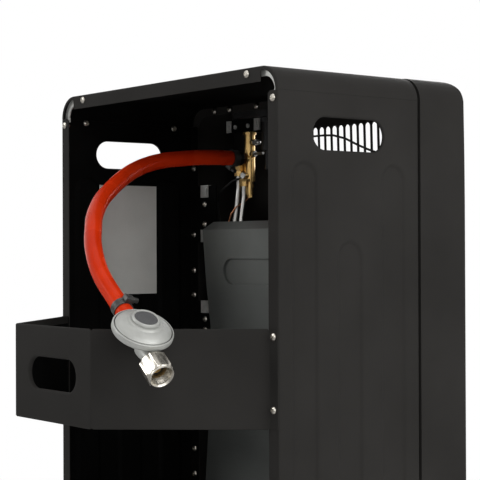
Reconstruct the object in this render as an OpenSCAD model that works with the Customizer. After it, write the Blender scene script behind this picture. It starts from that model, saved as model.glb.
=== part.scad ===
// Portable gas cabinet heater: a sheet steel cabinet on four swivel castors, with a radiant
// three-plaque burner at the front, an open back for the bottle, a bolted bottle guard, and
// a valve, hose and regulator. Millimetres, +Z up, the front faces -Y, the bottle side +Y.
// The origin is on the floor, under the middle of the cabinet and its guard.

/* [Cabinet] */
// Width over the two side panels
cab_w = 420; // [400:1:460]
// Depth of a side panel from the rear plane to its front edge
side_d = 198; // [185:1:215]
// Height of the top cover above the floor
top_z = 730; // [715:1:760]
// Height of the cabinet's underside above the floor
base_z = 60; // [56:1:66]
// Thickness of the cabinet sheet
sheet_t = 1; // [0.8:0.1:1.2]
// Width of the flange along each panel's edge
flange_w = 16; // [14:0.5:18]
// Outer radius of the cover's two long bends
cover_r = 26; // [20:1:28]
// Height of the cover's sides
cover_h = 26.3; // [25:0.1:30]
// Width of the cover's front lip
cover_lip = 5; // [4:0.5:7]
// Length of the cover's rear flange left off at each corner
corner_gap = 27; // [26:1:34]

/* [Hand slots] */
// Length of a hand slot
slot_l = 100; // [85:1:110]
// Height of a hand slot
slot_h = 34; // [30:1:38]
// Slot centre in front of the rear plane
slot_back = 97.6; // [90:0.1:105]
// Slot centre below the top
slot_down = 68; // [62:1:74]
// Depth of the rolled rim round a hand slot
slot_rim = 4; // [3:0.5:6]

/* [Pressed ribs] */
// Width of a rib
rib_w = 37; // [30:1:42]
// Depth of a rib
rib_d = 3; // [2:0.1:4]
// Slope run along a rib's edge
rib_slope = 6; // [4:0.5:8]
// Distance from rib to rib
rib_pitch = 62.6; // [58:0.1:66]
// Middle rib in front of the rear plane
rib_mid = 98.4; // [94:0.1:102]
// Top of the long ribs below the cover's top
rib_long = 96; // [93:1:110]
// Top of the short middle rib below the cover's top
rib_short = 178; // [150:1:220]
// Lower end of the ribs above the underside
rib_low = 24; // [18:1:60]

/* [Front shell] */
// Depth of the front shell at its foot
front_d = 74.6; // [68:0.1:82]
// Shadow gap between the side panels and the front shell
front_gap = 2.4; // [1.8:0.1:3]
// How far the front shell stands proud of the panels on each side
front_proud = 1; // [0.6:0.1:2]
// How far the front leans back at its top
front_lean = 6.5; // [3:0.5:9]
// Height where the lean begins, below the top
lean_down = 223; // [200:1:240]
// Radius of the front top edge
nose_r = 14; // [10:1:18]
// Radius of the front shell's upright edges
edge_r = 8; // [4:1:12]
// Number of vent slots
vent_n = 24; // [20:2:26]
// Distance from vent slot to vent slot
vent_pitch = 12; // [11.4:0.1:12.4]
// Width of a vent slot
vent_w = 8.5; // [7:0.1:9]
// Height of the vent slots
vent_h = 48; // [40:1:54]
// Top of the vent slots below the cover's top
vent_down = 35; // [34:1:40]
// Width of the burner opening
open_w = 300; // [280:1:310]
// Height of the burner opening
open_h = 270; // [250:1:280]
// Top of the burner opening below the cover's top
open_down = 176; // [165:1:190]
// Corner radius of the burner opening
open_r = 16; // [10:1:22]
// Depth of the rim folded in round the burner opening
open_rim = 12; // [10:1:13]

/* [Bottle guard] */
// Reach of the guard behind the rear plane
guard_reach = 139.3; // [130:0.1:150]
// Width of the guard's rear face
guard_w = 155.2; // [140:0.1:170]
// Height of the guard
guard_h = 102.4; // [90:0.1:115]
// Top of the guard below the cover's top
guard_down = 268.1; // [260:0.1:280]
// Width of the guard's feet on the rear flanges
guard_foot = 14; // [12:0.5:15]
// Height of the folded hem
hem_h = 9; // [6:0.5:11]
// Length of the guard's hand slot
grip_l = 96; // [80:1:105]
// Height of the guard's hand slot
grip_h = 35; // [28:1:38]

/* [Base and castors] */
// Thickness of the base tray
base_t = 1.2; // [1:0.1:2]
// Height of the base tray's rim
base_rim = 22; // [16:1:26]
// Reach of the base tray behind the rear plane
base_reach = 128; // [118:1:134]
// Width of the base tray's rear edge
base_rear_w = 230; // [200:1:250]
// Diameter of a castor wheel
wheel_d = 40; // [36:1:42]
// Width of a castor wheel
wheel_w = 17; // [14:1:20]
// Distance of a wheel's axle behind its swivel axis
castor_trail = 15; // [12:1:17]
// Side of a castor's square top plate
plate_s = 44; // [40:1:48]
// Front castors' swivel axes inside the cabinet's sides
castor_in = 38; // [34:1:50]
// Rear castors' swivel axes inside the base tray's rear corners
castor_rear_in = 17; // [13:1:25]

/* [Burner] */
// Space beside the outer burner boxes in the housing
house_side = 10; // [8:1:14]
// Top of the burner housing below the cover's top
house_down = 152.5; // [150:0.5:158]
// Height of the burner housing
house_h = 352; // [330:1:370]
// Thickness of the housing and reflector sheet
house_t = 1; // [0.8:0.1:1.2]
// Width of one ceramic plaque
plaque_w = 88; // [80:1:90]
// Height of one ceramic plaque
plaque_h = 132; // [120:1:140]
// Thickness of a ceramic plaque
plaque_t = 13; // [11:0.5:14]
// Distance from plaque to plaque
plaque_pitch = 96; // [94:0.5:97]

/* [Controls] */
// Valve axis, to the right of the middle
valve_x = 122; // [119:1:125]
// Valve axis in front of the rear plane
valve_fwd = 226; // [224:1:228]
// Igniter axis to the left of the valve axis
igniter_dx = 38; // [36:1:40]
// Radius of the control recess
recess_r = 22.5; // [21.5:0.5:23]
// Depth of the control recess
recess_d = 20; // [18:0.5:22]
// Diameter of the knob
knob_d = 34; // [30:1:36]
// Height of the knob
knob_h = 14; // [12:0.5:15]
// Travel of the knob when it is pressed
press_travel = 3; // [2:0.5:3.5]
// Diameter of the igniter button
button_d = 13; // [11:0.5:15]
// Travel of the igniter button
button_travel = 5; // [3:0.5:5.5]
// Diameter of the valve spindle
spindle_d = 8; // [7:0.5:8.5]

/* [Hose and regulator] */
// Outside diameter of the hose
hose_d = 19; // [15:0.5:19]
// Diameter of the regulator's body
reg_d = 63; // [58:1:64]
// Width across the flats of the union nut
nut_af = 26.5; // [25:0.5:27]
// Radius of the union nut's threaded bore
nut_bore_r = 9.2; // [8.8:0.1:9.6]
// Length of the union nut
nut_l = 24; // [22:1:26]

/* [Hidden] */

$fn = 48;
eps = 0.01;            // overlap of two cutting shapes
cut = 1;               // how far a cutting shape runs past a face
seat_gap = 0.2;        // gap between neighbouring sheets that only lie side by side
run_gap = 0.05;        // radial running clearance of shafts

// where the cabinet stands in the heater's own frame
rear_y = (side_d + front_gap + front_d - guard_reach) / 2;
panel_y = rear_y - side_d;                 // front edge of the side panels
shell_y = panel_y - front_gap;             // rear edge of the front shell
front_y = shell_y - front_d;               // foremost plane of the front shell
seam_z = top_z - cover_h;
half_w = cab_w / 2;
shell_w = cab_w + 2 * front_proud;
shell_top = top_z + front_proud / 2;

// colours
black = [0.17, 0.165, 0.16];
galv = [0.62, 0.64, 0.63];
brass = [0.72, 0.55, 0.26];
alu = [0.8, 0.8, 0.78];
steel = [0.75, 0.74, 0.7];

// ---------- shared shapes ----------

// a slot of length l and height h in the plane z = 0
module slot2d(l, h) {
    square([l - h, h], center = true);
    for (s = [-1, 1]) translate([s * (l - h) / 2, 0]) circle(d = h);
}

// a rectangle with round corners in the plane z = 0
module round_rect(w, h, r) {
    square([w - 2 * r, h], center = true);
    square([w, h - 2 * r], center = true);
    for (x = [-1, 1], y = [-1, 1])
        translate([x * (w / 2 - r), y * (h / 2 - r)]) circle(r = r);
}

// a slab from y = 0 towards +Y: its outline's x is the part's X and its outline's y is Z
module upright(t) {
    translate([0, t, 0]) rotate([90, 0, 0]) linear_extrude(height = t) children();
}

// a slab from x = 0 towards +X: its outline's x is the part's Y and its outline's y is Z
module sideways(t) {
    rotate([90, 0, 90]) linear_extrude(height = t) children();
}

// the cabinet's upright outline: square feet at z0, two round shoulders at z1
module arch(w, z0, z1, r) {
    translate([-w / 2, z0]) square([w, z1 - z0 - r]);
    translate([-w / 2 + r, z0]) square([w - 2 * r, z1 - z0]);
    intersection() {
        translate([-w / 2, z0]) square([w, z1 - z0]);
        for (s = [-1, 1]) translate([s * (w / 2 - r), z1 - r]) circle(r = r);
    }
}

// a line through a and b, moved by d to its left, as a point and a direction
function moved(a, b, d) = let (u = (b - a) / norm(b - a)) [a + d * [-u[1], u[0]], u];

// where two such lines cross
function crossing(p, q) = let (c = p[1][0] * q[1][1] - p[1][1] * q[1][0], g = q[0] - p[0])
    p[0] + p[1] * (g[0] * q[1][1] - g[1] * q[1][0]) / c;

// an open line of points moved by d to its left, with mitred bends
function shifted(pts, d) = let (n = len(pts)) [for (i = [0:n - 1])
    i == 0 ? moved(pts[0], pts[1], d)[0] :
    i == n - 1 ? moved(pts[n - 2], pts[n - 1], d)[0] + pts[n - 1] - pts[n - 2] :
    crossing(moved(pts[i - 1], pts[i], d), moved(pts[i], pts[i + 1], d))];

// a closed outline, taken anticlockwise, moved in by d
function inset(pts, d) = let (n = len(pts)) [for (i = [0:n - 1])
    crossing(moved(pts[(i + n - 1) % n], pts[i], d), moved(pts[i], pts[(i + 1) % n], d))];

// the strip of sheet of thickness t on the left of an open line of points
module strip(pts, t) {
    back = shifted(pts, t);
    polygon(concat(pts, [for (i = [len(back) - 1:-1:0]) back[i]]));
}

// a pan-head sheet screw, its head's seat at z = 0 and its shank towards -Z
screw_head_r = 4;
screw_head_h = 2.4;
screw_r = 1.9;
screw_l = 6;
screw_hole_r = 2;
module pan_screw(l = screw_l) {
    difference() {
        rotate_extrude() polygon([[0, 0], [screw_head_r, 0], [screw_head_r, 0.9],
            [screw_head_r - 0.7, 1.8], [screw_head_r - 2, screw_head_h], [0, screw_head_h]]);
        for (a = [0, 90]) rotate(a)
            translate([-2.2, -0.45, 1.3]) cube([4.4, 0.9, 2]);
    }
    translate([0, 0, -l]) cylinder(r = screw_r, h = l + eps);
}

// the hole for such a screw, through a sheet whose face is at z = 0 and whose body is below
module screw_hole(l = sheet_t) {
    translate([0, 0, -l - cut]) cylinder(r = screw_hole_r, h = l + 2 * cut);
}

// a round tube or rod swept along points, as one closed skin
function unit(v) = v / norm(v);
function side_of(t) = abs(t[2]) < 0.9 ? unit(cross(t, [0, 0, 1])) : unit(cross(t, [1, 0, 0]));
function slope(pts, i) = unit(pts[min(i + 1, len(pts) - 1)] - pts[max(i - 1, 0)]);
function carried(pts, i) = i == 0 ? side_of(slope(pts, 0)) :
    let (s = carried(pts, i - 1), t = slope(pts, i)) unit(s - t * (s * t));
module swept(pts, r, sides) {
    n = len(pts);
    rings = [for (i = [0:n - 1]) let (t = slope(pts, i), u = carried(pts, i), v = cross(t, u))
        for (k = [0:sides - 1]) let (a = 360 * k / sides)
            pts[i] + r * (cos(a) * u + sin(a) * v)];
    sleeve = [for (i = [0:n - 2], k = [0:sides - 1]) let (j = (k + 1) % sides)
        [i * sides + k, i * sides + j, (i + 1) * sides + j, (i + 1) * sides + k]];
    ends = [[for (k = [sides - 1:-1:0]) k], [for (k = [0:sides - 1]) (n - 1) * sides + k]];
    polyhedron(rings, [for (f = concat(sleeve, ends)) [for (i = [len(f) - 1:-1:0]) f[i]]]);
}

// ---------- cabinet ----------

// screws through the rear flange: two in the cover, one below each seam, four in the guard
cover_screw_x = half_w - 50;
cover_screw_z = top_z - 6.5;
flange_screw_x = half_w - 7.5;
flange_screw_z = seam_z - 8;
guard_screw_x = half_w - 6.8;
guard_screw_drop = [8, 82];
guard_top = top_z - guard_down;

// screws through the front flanges, from the top down
front_screw_zs = concat([for (drop = [81, 168, 215, 247, 449, 482]) top_z - drop], [base_z + 30]);
front_screw_x = half_w - 6.5;

// screws where the cover meets the front shell, given by their distance across
top_screw_xs = [-158, -126, -71, 71, 126, 158];
top_screw_z = top_z - 9;
lip_tab_w = 15;
lip_tab_h = 14;

// screws of the base tray through the side panels, in front of the rear plane
tray_screw_back = [30, 165];
tray_screw_z = base_z + 12;

// short pins that hold the cover's inner lips, in front of the rear plane
lip_screw_back = [34, 168];
lip_screw_z = top_z - 29.5;
pin_l = 1.6;
lip_low_z = top_z - 38;

// one pressed rib with sloping edges: grow is the sheet it adds on the hidden side
module rib_form(z0, z1, grow) {
    wide = rib_w / 2 + grow;
    flat = rib_w / 2 - rib_slope + grow;
    deep = rib_d + grow;
    profile = [[-wide, 0], [wide, 0], [flat, deep], [-flat, deep]];
    translate([0, 0, z0 + rib_w / 2]) linear_extrude(height = z1 - z0 - rib_w)
        polygon([for (p = profile) [p[1], p[0]]]);
    for (z = [z0 + rib_w / 2, z1 - rib_w / 2]) translate([0, 0, z]) rotate([0, 90, 0])
        rotate_extrude() polygon([[0, 0], [wide, 0], [flat, deep], [0, deep]]);
}

// a side panel with its outside at x = 0 and its inside towards +X
module side_panel() {
    rib_tops = [top_z - rib_long, top_z - rib_short, top_z - rib_long];
    rib_ys = [for (k = [1, 0, -1]) rear_y - rib_mid + k * rib_pitch];
    slot_at = [0, rear_y - slot_back, top_z - slot_down];
    difference() {
        union() {
            translate([0, panel_y, base_z]) cube([sheet_t, side_d, seam_z - base_z]);
            for (k = [0:2]) translate([0, rib_ys[k], 0])
                rib_form(base_z + rib_low, rib_tops[k], sheet_t);
            for (y = [rear_y - sheet_t, panel_y]) translate([0, y, base_z])
                cube([flange_w, sheet_t, seam_z - base_z]);
            translate(slot_at) sideways(slot_rim) slot2d(slot_l + 2 * sheet_t, slot_h + 2 * sheet_t);
        }
        for (k = [0:2]) translate([-eps, rib_ys[k], 0])
            rib_form(base_z + rib_low, rib_tops[k], 0);
        translate(slot_at - [cut, 0, 0]) sideways(slot_rim + 2 * cut) slot2d(slot_l, slot_h);
        for (z = [flange_screw_z, for (d = guard_screw_drop) guard_top - d])
            translate([z == flange_screw_z ? half_w - flange_screw_x : half_w - guard_screw_x,
                rear_y, z]) rotate([-90, 0, 0]) screw_hole();
        for (z = front_screw_zs) translate([half_w - front_screw_x, panel_y, z])
            rotate([90, 0, 0]) screw_hole();
        for (b = tray_screw_back) translate([0, rear_y - b, tray_screw_z])
            rotate([0, -90, 0]) screw_hole();
        for (b = lip_screw_back) translate([pin_l / 4, rear_y - b, lip_screw_z])
            rotate([0, 90, 0]) cylinder(r = screw_hole_r, h = 2 * sheet_t);
    }
}
module side_panel_left() {
    color(black) translate([-half_w, 0, 0]) side_panel();
}
module side_panel_right() {
    color(black) translate([half_w, 0, 0]) mirror([1, 0, 0]) side_panel();
}

// the cover: a sheet bent over the cabinet, a rear flange, a lip at each end, two inner lips
module top_cover() {
    inner_r = cover_r - sheet_t;
    color(black) difference() {
        union() {
            translate([0, panel_y, 0]) upright(side_d) difference() {
                arch(cab_w, seam_z, top_z, cover_r);
                translate([0, -eps]) arch(cab_w - 2 * sheet_t, seam_z - cut, top_z - sheet_t, inner_r);
            }
            translate([-half_w + corner_gap, rear_y - sheet_t, top_z - flange_w])
                cube([cab_w - 2 * corner_gap, sheet_t, flange_w]);
            for (y = [panel_y, rear_y - sheet_t]) translate([0, y, 0]) upright(sheet_t) difference() {
                arch(cab_w - sheet_t, seam_z, top_z - sheet_t / 2, inner_r);
                translate([0, -eps]) arch(cab_w - 2 * cover_lip, seam_z - cut, top_z - cover_lip,
                    cover_r - cover_lip);
            }
            for (x = top_screw_xs) translate([x - lip_tab_w / 2, panel_y, top_z - lip_tab_h])
                cube([lip_tab_w, sheet_t, lip_tab_h - sheet_t / 2]);
            for (s = [-1, 1]) translate([s * (half_w - 1.5 * sheet_t) - sheet_t / 2,
                panel_y + sheet_t + seat_gap, lip_low_z])
                cube([sheet_t, side_d - 7 * sheet_t, seam_z + 6 - lip_low_z]);
        }
        for (s = [-1, 1]) {
            translate([s * cover_screw_x, rear_y, cover_screw_z])
                rotate([-90, 0, 0]) screw_hole();
            for (b = lip_screw_back) translate([s * (half_w - 2 * sheet_t) - cut - sheet_t,
                rear_y - b, lip_screw_z])
                rotate([0, 90, 0]) cylinder(r = screw_hole_r, h = 2 * cut + 2 * sheet_t);
        }
        for (x = top_screw_xs) translate([x, panel_y, top_screw_z]) rotate([90, 0, 0])
            screw_hole();
    }
}

// galvanised plates inside the cover's rear corners: a quarter ring that shows in each open
// corner, and two arms stepped back against the flanges, one screw in each
corner_w = 9;
corner_t = 1.5;
corner_back = 4.5;
arm_l = 58;
arm_show = 14;
module corner_plates() {
    ring_r = cover_r - sheet_t - 0.1;
    face_y = rear_y - corner_back - corner_t;
    arm_y = rear_y - sheet_t - corner_t;
    side_x = half_w - 2 * sheet_t - seat_gap - corner_w;
    top_low = top_z - sheet_t - 0.1 - corner_w;
    for (s = [0, 1]) mirror([s, 0, 0]) color(galv) difference() {
        union() {
            translate([half_w - cover_r, face_y, top_z - cover_r]) upright(corner_t)
                intersection() {
                    difference() {
                        circle(r = ring_r);
                        circle(r = ring_r - corner_w);
                    }
                    square(ring_r + cut);
                }
            translate([half_w - cover_r - arm_show, face_y, top_low])
                cube([arm_show + 1, corner_t, corner_w - 0.2]);
            translate([half_w - cover_r - arm_show, face_y, top_low])
                cube([corner_t, arm_y - face_y + corner_t, corner_w - 0.2]);
            translate([half_w - cover_r - arm_l + arm_show, arm_y, top_low])
                cube([arm_l - 2 * arm_show + corner_t, corner_t, corner_w - 0.2]);
            translate([side_x, face_y, seam_z - 4])
                cube([corner_w, corner_t, top_z - cover_r - seam_z + 5]);
            translate([side_x, face_y, seam_z - 4])
                cube([corner_w, arm_y - face_y + corner_t, corner_t]);
            translate([side_x, arm_y, seam_z - 4 - arm_show])
                cube([corner_w, corner_t, arm_show + corner_t]);
        }
        for (at = [[flange_screw_x, flange_screw_z], [cover_screw_x, cover_screw_z]])
            translate([at[0], rear_y, at[1]]) rotate([-90, 0, 0]) screw_hole(7);
    }
}

// ---------- front shell ----------

foot_z = base_z;
lean_z = top_z - lean_down;

// the shell's solid form, made smaller by d on every face but its back and its foot
module shell_form(d) {
    w = shell_w - 2 * d;
    top = shell_top - d;
    r = nose_r - d;
    front = front_y + d;
    lean = front + front_lean;
    back = shell_y + (d > 0 ? cut : 0);
    foot = foot_z - (d > 0 ? cut : 0);
    intersection() {
        translate([0, front, 0]) upright(back - front)
            arch(w, foot, top, cover_r + front_proud - d);
        translate([-w / 2, 0, 0]) sideways(w) {
            polygon([[back, foot], [front, foot], [front, lean_z], [lean, top - r],
                [lean + r, top - r], [lean + r, top], [back, top]]);
            translate([lean + r, top - r]) circle(r = r);
        }
        translate([0, 0, foot]) linear_extrude(height = top - foot) {
            translate([-w / 2 + edge_r - d, front]) square([w - 2 * (edge_r - d), back - front]);
            translate([-w / 2, front + edge_r - d]) square([w, back - front - edge_r + d]);
            for (s = [-1, 1]) translate([s * (w / 2 - edge_r + d), front + edge_r - d])
                circle(r = edge_r - d);
        }
    }
}

open_z = top_z - open_down - open_h / 2;
control_x = valve_x - igniter_dx / 2;
control_l = igniter_dx + 2 * recess_r;
control_y = rear_y - valve_fwd;
grille_t = 3;

module front_shell() {
    fold = 5;              // width of the step from the outer face to the flange
    color(black) difference() {
        union() {
            difference() {
                shell_form(0);
                shell_form(sheet_t);
            }
            translate([0, shell_y - sheet_t, 0]) upright(sheet_t) difference() {
                arch(shell_w - sheet_t, foot_z, shell_top - sheet_t / 2, cover_r);
                translate([0, -eps]) arch(shell_w - 2 * fold, foot_z - cut, shell_top - fold,
                    cover_r - fold + 1);
            }
            translate([0, shell_y - sheet_t, 0]) upright(front_gap + sheet_t) difference() {
                arch(shell_w - 2 * fold + 2 * sheet_t, foot_z, shell_top - fold + sheet_t,
                    cover_r - fold + 2);
                translate([0, -eps]) arch(shell_w - 2 * fold, foot_z - cut, shell_top - fold,
                    cover_r - fold + 1);
            }
            translate([0, panel_y - sheet_t, 0]) upright(sheet_t) difference() {
                arch(shell_w - 2 * fold + 2 * sheet_t, foot_z, shell_top - fold + sheet_t,
                    cover_r - fold + 2);
                translate([0, -eps]) arch(cab_w - 2 * flange_w + 4, foot_z - cut,
                    top_z - lip_tab_h, cover_r - fold);
            }
            translate([0, front_y + sheet_t - eps, open_z]) upright(open_rim)
                difference() {
                    round_rect(open_w + 2 * sheet_t, open_h + 2 * sheet_t, open_r + sheet_t);
                    round_rect(open_w, open_h, open_r);
                }
        }
        translate([0, front_y - cut, open_z]) upright(open_rim + 2 * cut)
            round_rect(open_w, open_h, open_r);
        for (k = [0:vent_n - 1])
            translate([(k - (vent_n - 1) / 2) * vent_pitch, front_y - cut,
                top_z - vent_down - vent_h / 2]) upright(front_lean + nose_r + sheet_t)
                rotate(90) slot2d(vent_h, vent_w);
        translate([control_x, control_y, shell_top - sheet_t - cut])
            linear_extrude(height = 2 * cut + sheet_t) slot2d(control_l, 2 * recess_r);
        for (s = [-1, 1], z = front_screw_zs) translate([s * front_screw_x, panel_y, z])
            rotate([-90, 0, 0]) screw_hole();
        for (x = top_screw_xs) translate([x, panel_y, top_screw_z])
            rotate([-90, 0, 0]) screw_hole();
        for (s = [-1, 1], z = grille_rows)
            translate([s * open_w / 2 - cut - sheet_t, grille_y, z]) rotate([0, 90, 0])
                cylinder(r = grille_t / 2 + run_gap, h = 2 * (cut + sheet_t));
    }
}

// the wire guard: rods that meet at spot welds, upright ones before lying ones; the
// three long rows are hooked into the opening's rim
grille_y = front_y + open_rim / 2 + grille_t / 2 + 0.1;
grille_rows = [for (k = [-1, 0, 1]) open_z + k * (open_h / 2 - 24)];
grille_n = 17;
weld_gap = 0.02;
module guard_grille() {
    frame_w = open_w - 12;
    frame_h = open_h - 16;
    color([0.75, 0.75, 0.73]) {
        for (z = grille_rows) translate([-open_w / 2 - sheet_t, grille_y, z])
            rotate([0, 90, 0]) cylinder(d = grille_t, h = open_w + 2 * sheet_t);
        for (s = [-1, 1]) translate([-frame_w / 2 - grille_t / 2, grille_y, open_z + s * frame_h / 2])
            rotate([0, 90, 0]) cylinder(d = grille_t, h = frame_w + grille_t);
        for (k = [0:grille_n - 1])
            translate([(k / (grille_n - 1) - 0.5) * frame_w, grille_y - grille_t - weld_gap,
                open_z - frame_h / 2 - grille_t / 2]) cylinder(d = grille_t, h = frame_h + grille_t);
    }
}

// ---------- base and guard ----------

// the base tray: a rimmed pan whose rear part narrows behind the cabinet
base_in = sheet_t + seat_gap;
base_plan = [[-half_w + base_in, front_y + sheet_t + seat_gap + edge_r],
    [-half_w + base_in + edge_r, front_y + sheet_t + seat_gap],
    [half_w - base_in - edge_r, front_y + sheet_t + seat_gap],
    [half_w - base_in, front_y + sheet_t + seat_gap + edge_r],
    [half_w - base_in, rear_y - sheet_t - seat_gap],
    [half_w - flange_w - 2, rear_y - sheet_t - seat_gap], [half_w - flange_w - 2, rear_y],
    [base_rear_w / 2, rear_y + base_reach], [-base_rear_w / 2, rear_y + base_reach],
    [-half_w + flange_w + 2, rear_y], [-half_w + flange_w + 2, rear_y - sheet_t - seat_gap],
    [-half_w + base_in, rear_y - sheet_t - seat_gap]];
module base_tray() {
    color(black) difference() {
        translate([0, 0, base_z]) linear_extrude(height = base_rim) polygon(base_plan);
        translate([0, 0, base_z + base_t]) linear_extrude(height = base_rim)
            polygon(inset(base_plan, base_t));
        for (s = [-1, 1]) {
            translate([s > 0 ? half_w - flange_w - seat_gap : -half_w,
                shell_y - sheet_t - seat_gap, base_z - cut])
                cube([flange_w + seat_gap, 2 * sheet_t + front_gap + 2 * seat_gap,
                    base_rim + 2 * cut]);
            for (b = tray_screw_back) translate([s * half_w, rear_y - b, tray_screw_z])
                rotate([0, -90 * s, 0]) cylinder(r = screw_hole_r, h = 4);
        }
    }
}

// the bottle guard: one strip with two bends, feet on the rear flange, hemmed edges
guard_line = [[-half_w + seat_gap, rear_y], [-half_w + guard_foot, rear_y],
    [-guard_w / 2, rear_y + guard_reach], [guard_w / 2, rear_y + guard_reach],
    [half_w - guard_foot, rear_y], [half_w - seat_gap, rear_y]];
function between(a, b, t) = a + (b - a) * t;
module bottle_guard() {
    low = guard_top - guard_h;
    hem_runs = [[1, 0.04, 0.95], [2, 0.03, 0.97], [3, 0.05, 0.96]];
    color(black) difference() {
        union() {
            translate([0, 0, low]) linear_extrude(height = guard_h)
                strip([for (i = [0:5]) guard_line[i] + [i == 1 ? -1 : i == 4 ? 1 : 0,
                    i == 2 || i == 3 ? 0 : sheet_t]], -sheet_t);
            for (z = [low, guard_top - hem_h], h = hem_runs)
                translate([0, 0, z]) linear_extrude(height = hem_h)
                    strip(shifted([between(guard_line[h[0]], guard_line[h[0] + 1], h[1]),
                        between(guard_line[h[0]], guard_line[h[0] + 1], h[2])],
                        -sheet_t + eps), -sheet_t);
            translate([0, rear_y + guard_reach - slot_rim, guard_top - guard_h / 2])
                upright(slot_rim) slot2d(grip_l + 2 * sheet_t, grip_h + 2 * sheet_t);
        }
        translate([0, rear_y + guard_reach - slot_rim - cut, guard_top - guard_h / 2])
            upright(slot_rim + 2 * cut) slot2d(grip_l, grip_h);
        for (s = [-1, 1], d = guard_screw_drop) translate([s * guard_screw_x, rear_y,
            guard_top - d]) rotate([90, 0, 0]) screw_hole();
    }
}

// all pan-head screws of the cabinet
module sheet_screws() {
    color([0.8, 0.78, 0.74]) {
        for (s = [-1, 1]) {
            translate([s * cover_screw_x, rear_y, cover_screw_z]) rotate([-90, 0, 0]) pan_screw();
            translate([s * flange_screw_x, rear_y, flange_screw_z])
                rotate([-90, 0, 0]) pan_screw();
            for (d = guard_screw_drop)
                translate([s * guard_screw_x, rear_y + sheet_t, guard_top - d])
                    rotate([-90, 0, 0]) pan_screw();
            for (z = front_screw_zs)
                translate([s * front_screw_x, panel_y + sheet_t, z])
                    rotate([-90, 0, 0]) pan_screw();
            for (b = lip_screw_back)
                translate([s * (half_w - 2 * sheet_t), rear_y - b, lip_screw_z])
                    rotate([0, -90 * s, 0]) pan_screw(pin_l);
            for (b = tray_screw_back) translate([s * half_w, rear_y - b, tray_screw_z])
                rotate([0, 90 * s, 0]) pan_screw();
        }
        for (x = top_screw_xs) translate([x, panel_y + sheet_t, top_screw_z])
            rotate([-90, 0, 0]) pan_screw();
        carrier_pan_screws();
    }
}

// ---------- controls ----------

panel_z = shell_top - sheet_t;                  // underside of the front shell's top
recess_z = panel_z - recess_d;                  // floor of the control recess
valve_at = [valve_x, control_y, 0];
igniter_at = [valve_x - igniter_dx, control_y, 0];
bracket_z = recess_z - 17;                      // underside of the bracket's floor
bracket_top = recess_z - sheet_t;
bracket_low_x = valve_x - 34;                   // the bracket's two ends
bracket_high_x = valve_x + 31;
wall_y = control_y + 11;                        // front face of the bracket's rear wall
wall_screw_z = bracket_z + 7;
wall_screw_dx = 13;
tab_y = control_y + 6;
tab_xs = [valve_x - 18, valve_x + 16];
igniter_r = 8;

// a moulded bowl hung in the front shell's top, with a narrow rim under the sheet
bowl_wall = 1.5;
module control_panel() {
    rim = 2;
    color([0.1, 0.1, 0.1]) difference() {
        union() {
            translate([control_x, control_y, recess_z - sheet_t])
                linear_extrude(height = recess_d + sheet_t)
                    slot2d(control_l - 2 * seat_gap, 2 * (recess_r - seat_gap));
            translate([control_x, control_y, panel_z - sheet_t])
                linear_extrude(height = sheet_t)
                    slot2d(control_l + 2 * rim, 2 * (recess_r + rim));
        }
        translate([control_x, control_y, recess_z]) linear_extrude(height = recess_d + cut)
            slot2d(control_l - 2 * seat_gap - 2 * bowl_wall, 2 * (recess_r - seat_gap - bowl_wall));
        translate(valve_at + [0, 0, recess_z - sheet_t - cut])
            cylinder(d = spindle_d + 4, h = sheet_t + 2 * cut);
        translate(igniter_at + [0, 0, recess_z - sheet_t - cut])
            cylinder(r = igniter_r + 0.1, h = sheet_t + 2 * cut);
        for (x = tab_xs) translate([x, tab_y, recess_z - sheet_t - cut])
            cylinder(r = 1.6, h = sheet_t + 2 * cut);
    }
}

knob_z = recess_z + press_travel + 2.2;           // underside of the knob at rest
socket_h = 8;                                   // depth of the spindle's socket in the knob

// the knob: a ribbed skirt, a finger bar with a pointer groove, and a round socket below
module control_knob() {
    color([0.13, 0.13, 0.13]) translate(valve_at + [0, 0, knob_z]) difference() {
        union() {
            rotate_extrude() polygon([[0, 0], [knob_d / 2, 0], [knob_d / 2, 4],
                [knob_d / 2 - 1.5, 6], [knob_d / 2 - 3, 6.5], [0, 6.5]]);
            translate([-4.5, -knob_d / 2 + 4.5, 6]) cube([9, knob_d - 9, knob_h - 6]);
            for (s = [-1, 1]) translate([0, s * (knob_d / 2 - 4.5), 6])
                cylinder(d = 9, h = knob_h - 6);
            for (k = [0:23]) rotate(15 * k) translate([knob_d / 2 - 0.6, -0.6, 0.5])
                cube([0.9, 1.2, 3.2]);
        }
        translate([-0.7, -knob_d / 2 - 1, knob_h - 0.8]) cube([1.4, knob_d / 2, 2]);
        translate([0, 0, -cut]) cylinder(d = spindle_d + 2 * run_gap, h = socket_h + cut);
    }
}

// the bracket under the recess: a floor that carries the valve, a rear wall, two top tabs
module valve_bracket() {
    wide = bracket_high_x - bracket_low_x;
    color([0.12, 0.12, 0.12]) difference() {
        union() {
            translate([bracket_low_x, wall_y, bracket_z])
                cube([wide, sheet_t, bracket_top - bracket_z]);
            translate([valve_x - 16, control_y - 14, bracket_z])
                cube([32, wall_y - control_y + 14 + eps, sheet_t]);
            for (x = tab_xs) translate([x - 6, tab_y - 6, bracket_top - sheet_t])
                cube([12, wall_y - tab_y + 6 + eps, sheet_t]);
        }
        translate([valve_x, control_y, bracket_z - cut])
            cylinder(r = neck_r + run_gap, h = sheet_t + 2 * cut);
        for (x = tab_xs) translate([x, tab_y, bracket_top - sheet_t - cut])
            cylinder(r = 1.6, h = sheet_t + 2 * cut);
        for (s = [-1, 1]) translate([valve_x + s * wall_screw_dx, wall_y - cut, wall_screw_z])
            rotate([-90, 0, 0]) cylinder(r = 1.6, h = sheet_t + 2 * cut);
    }
}

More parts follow.
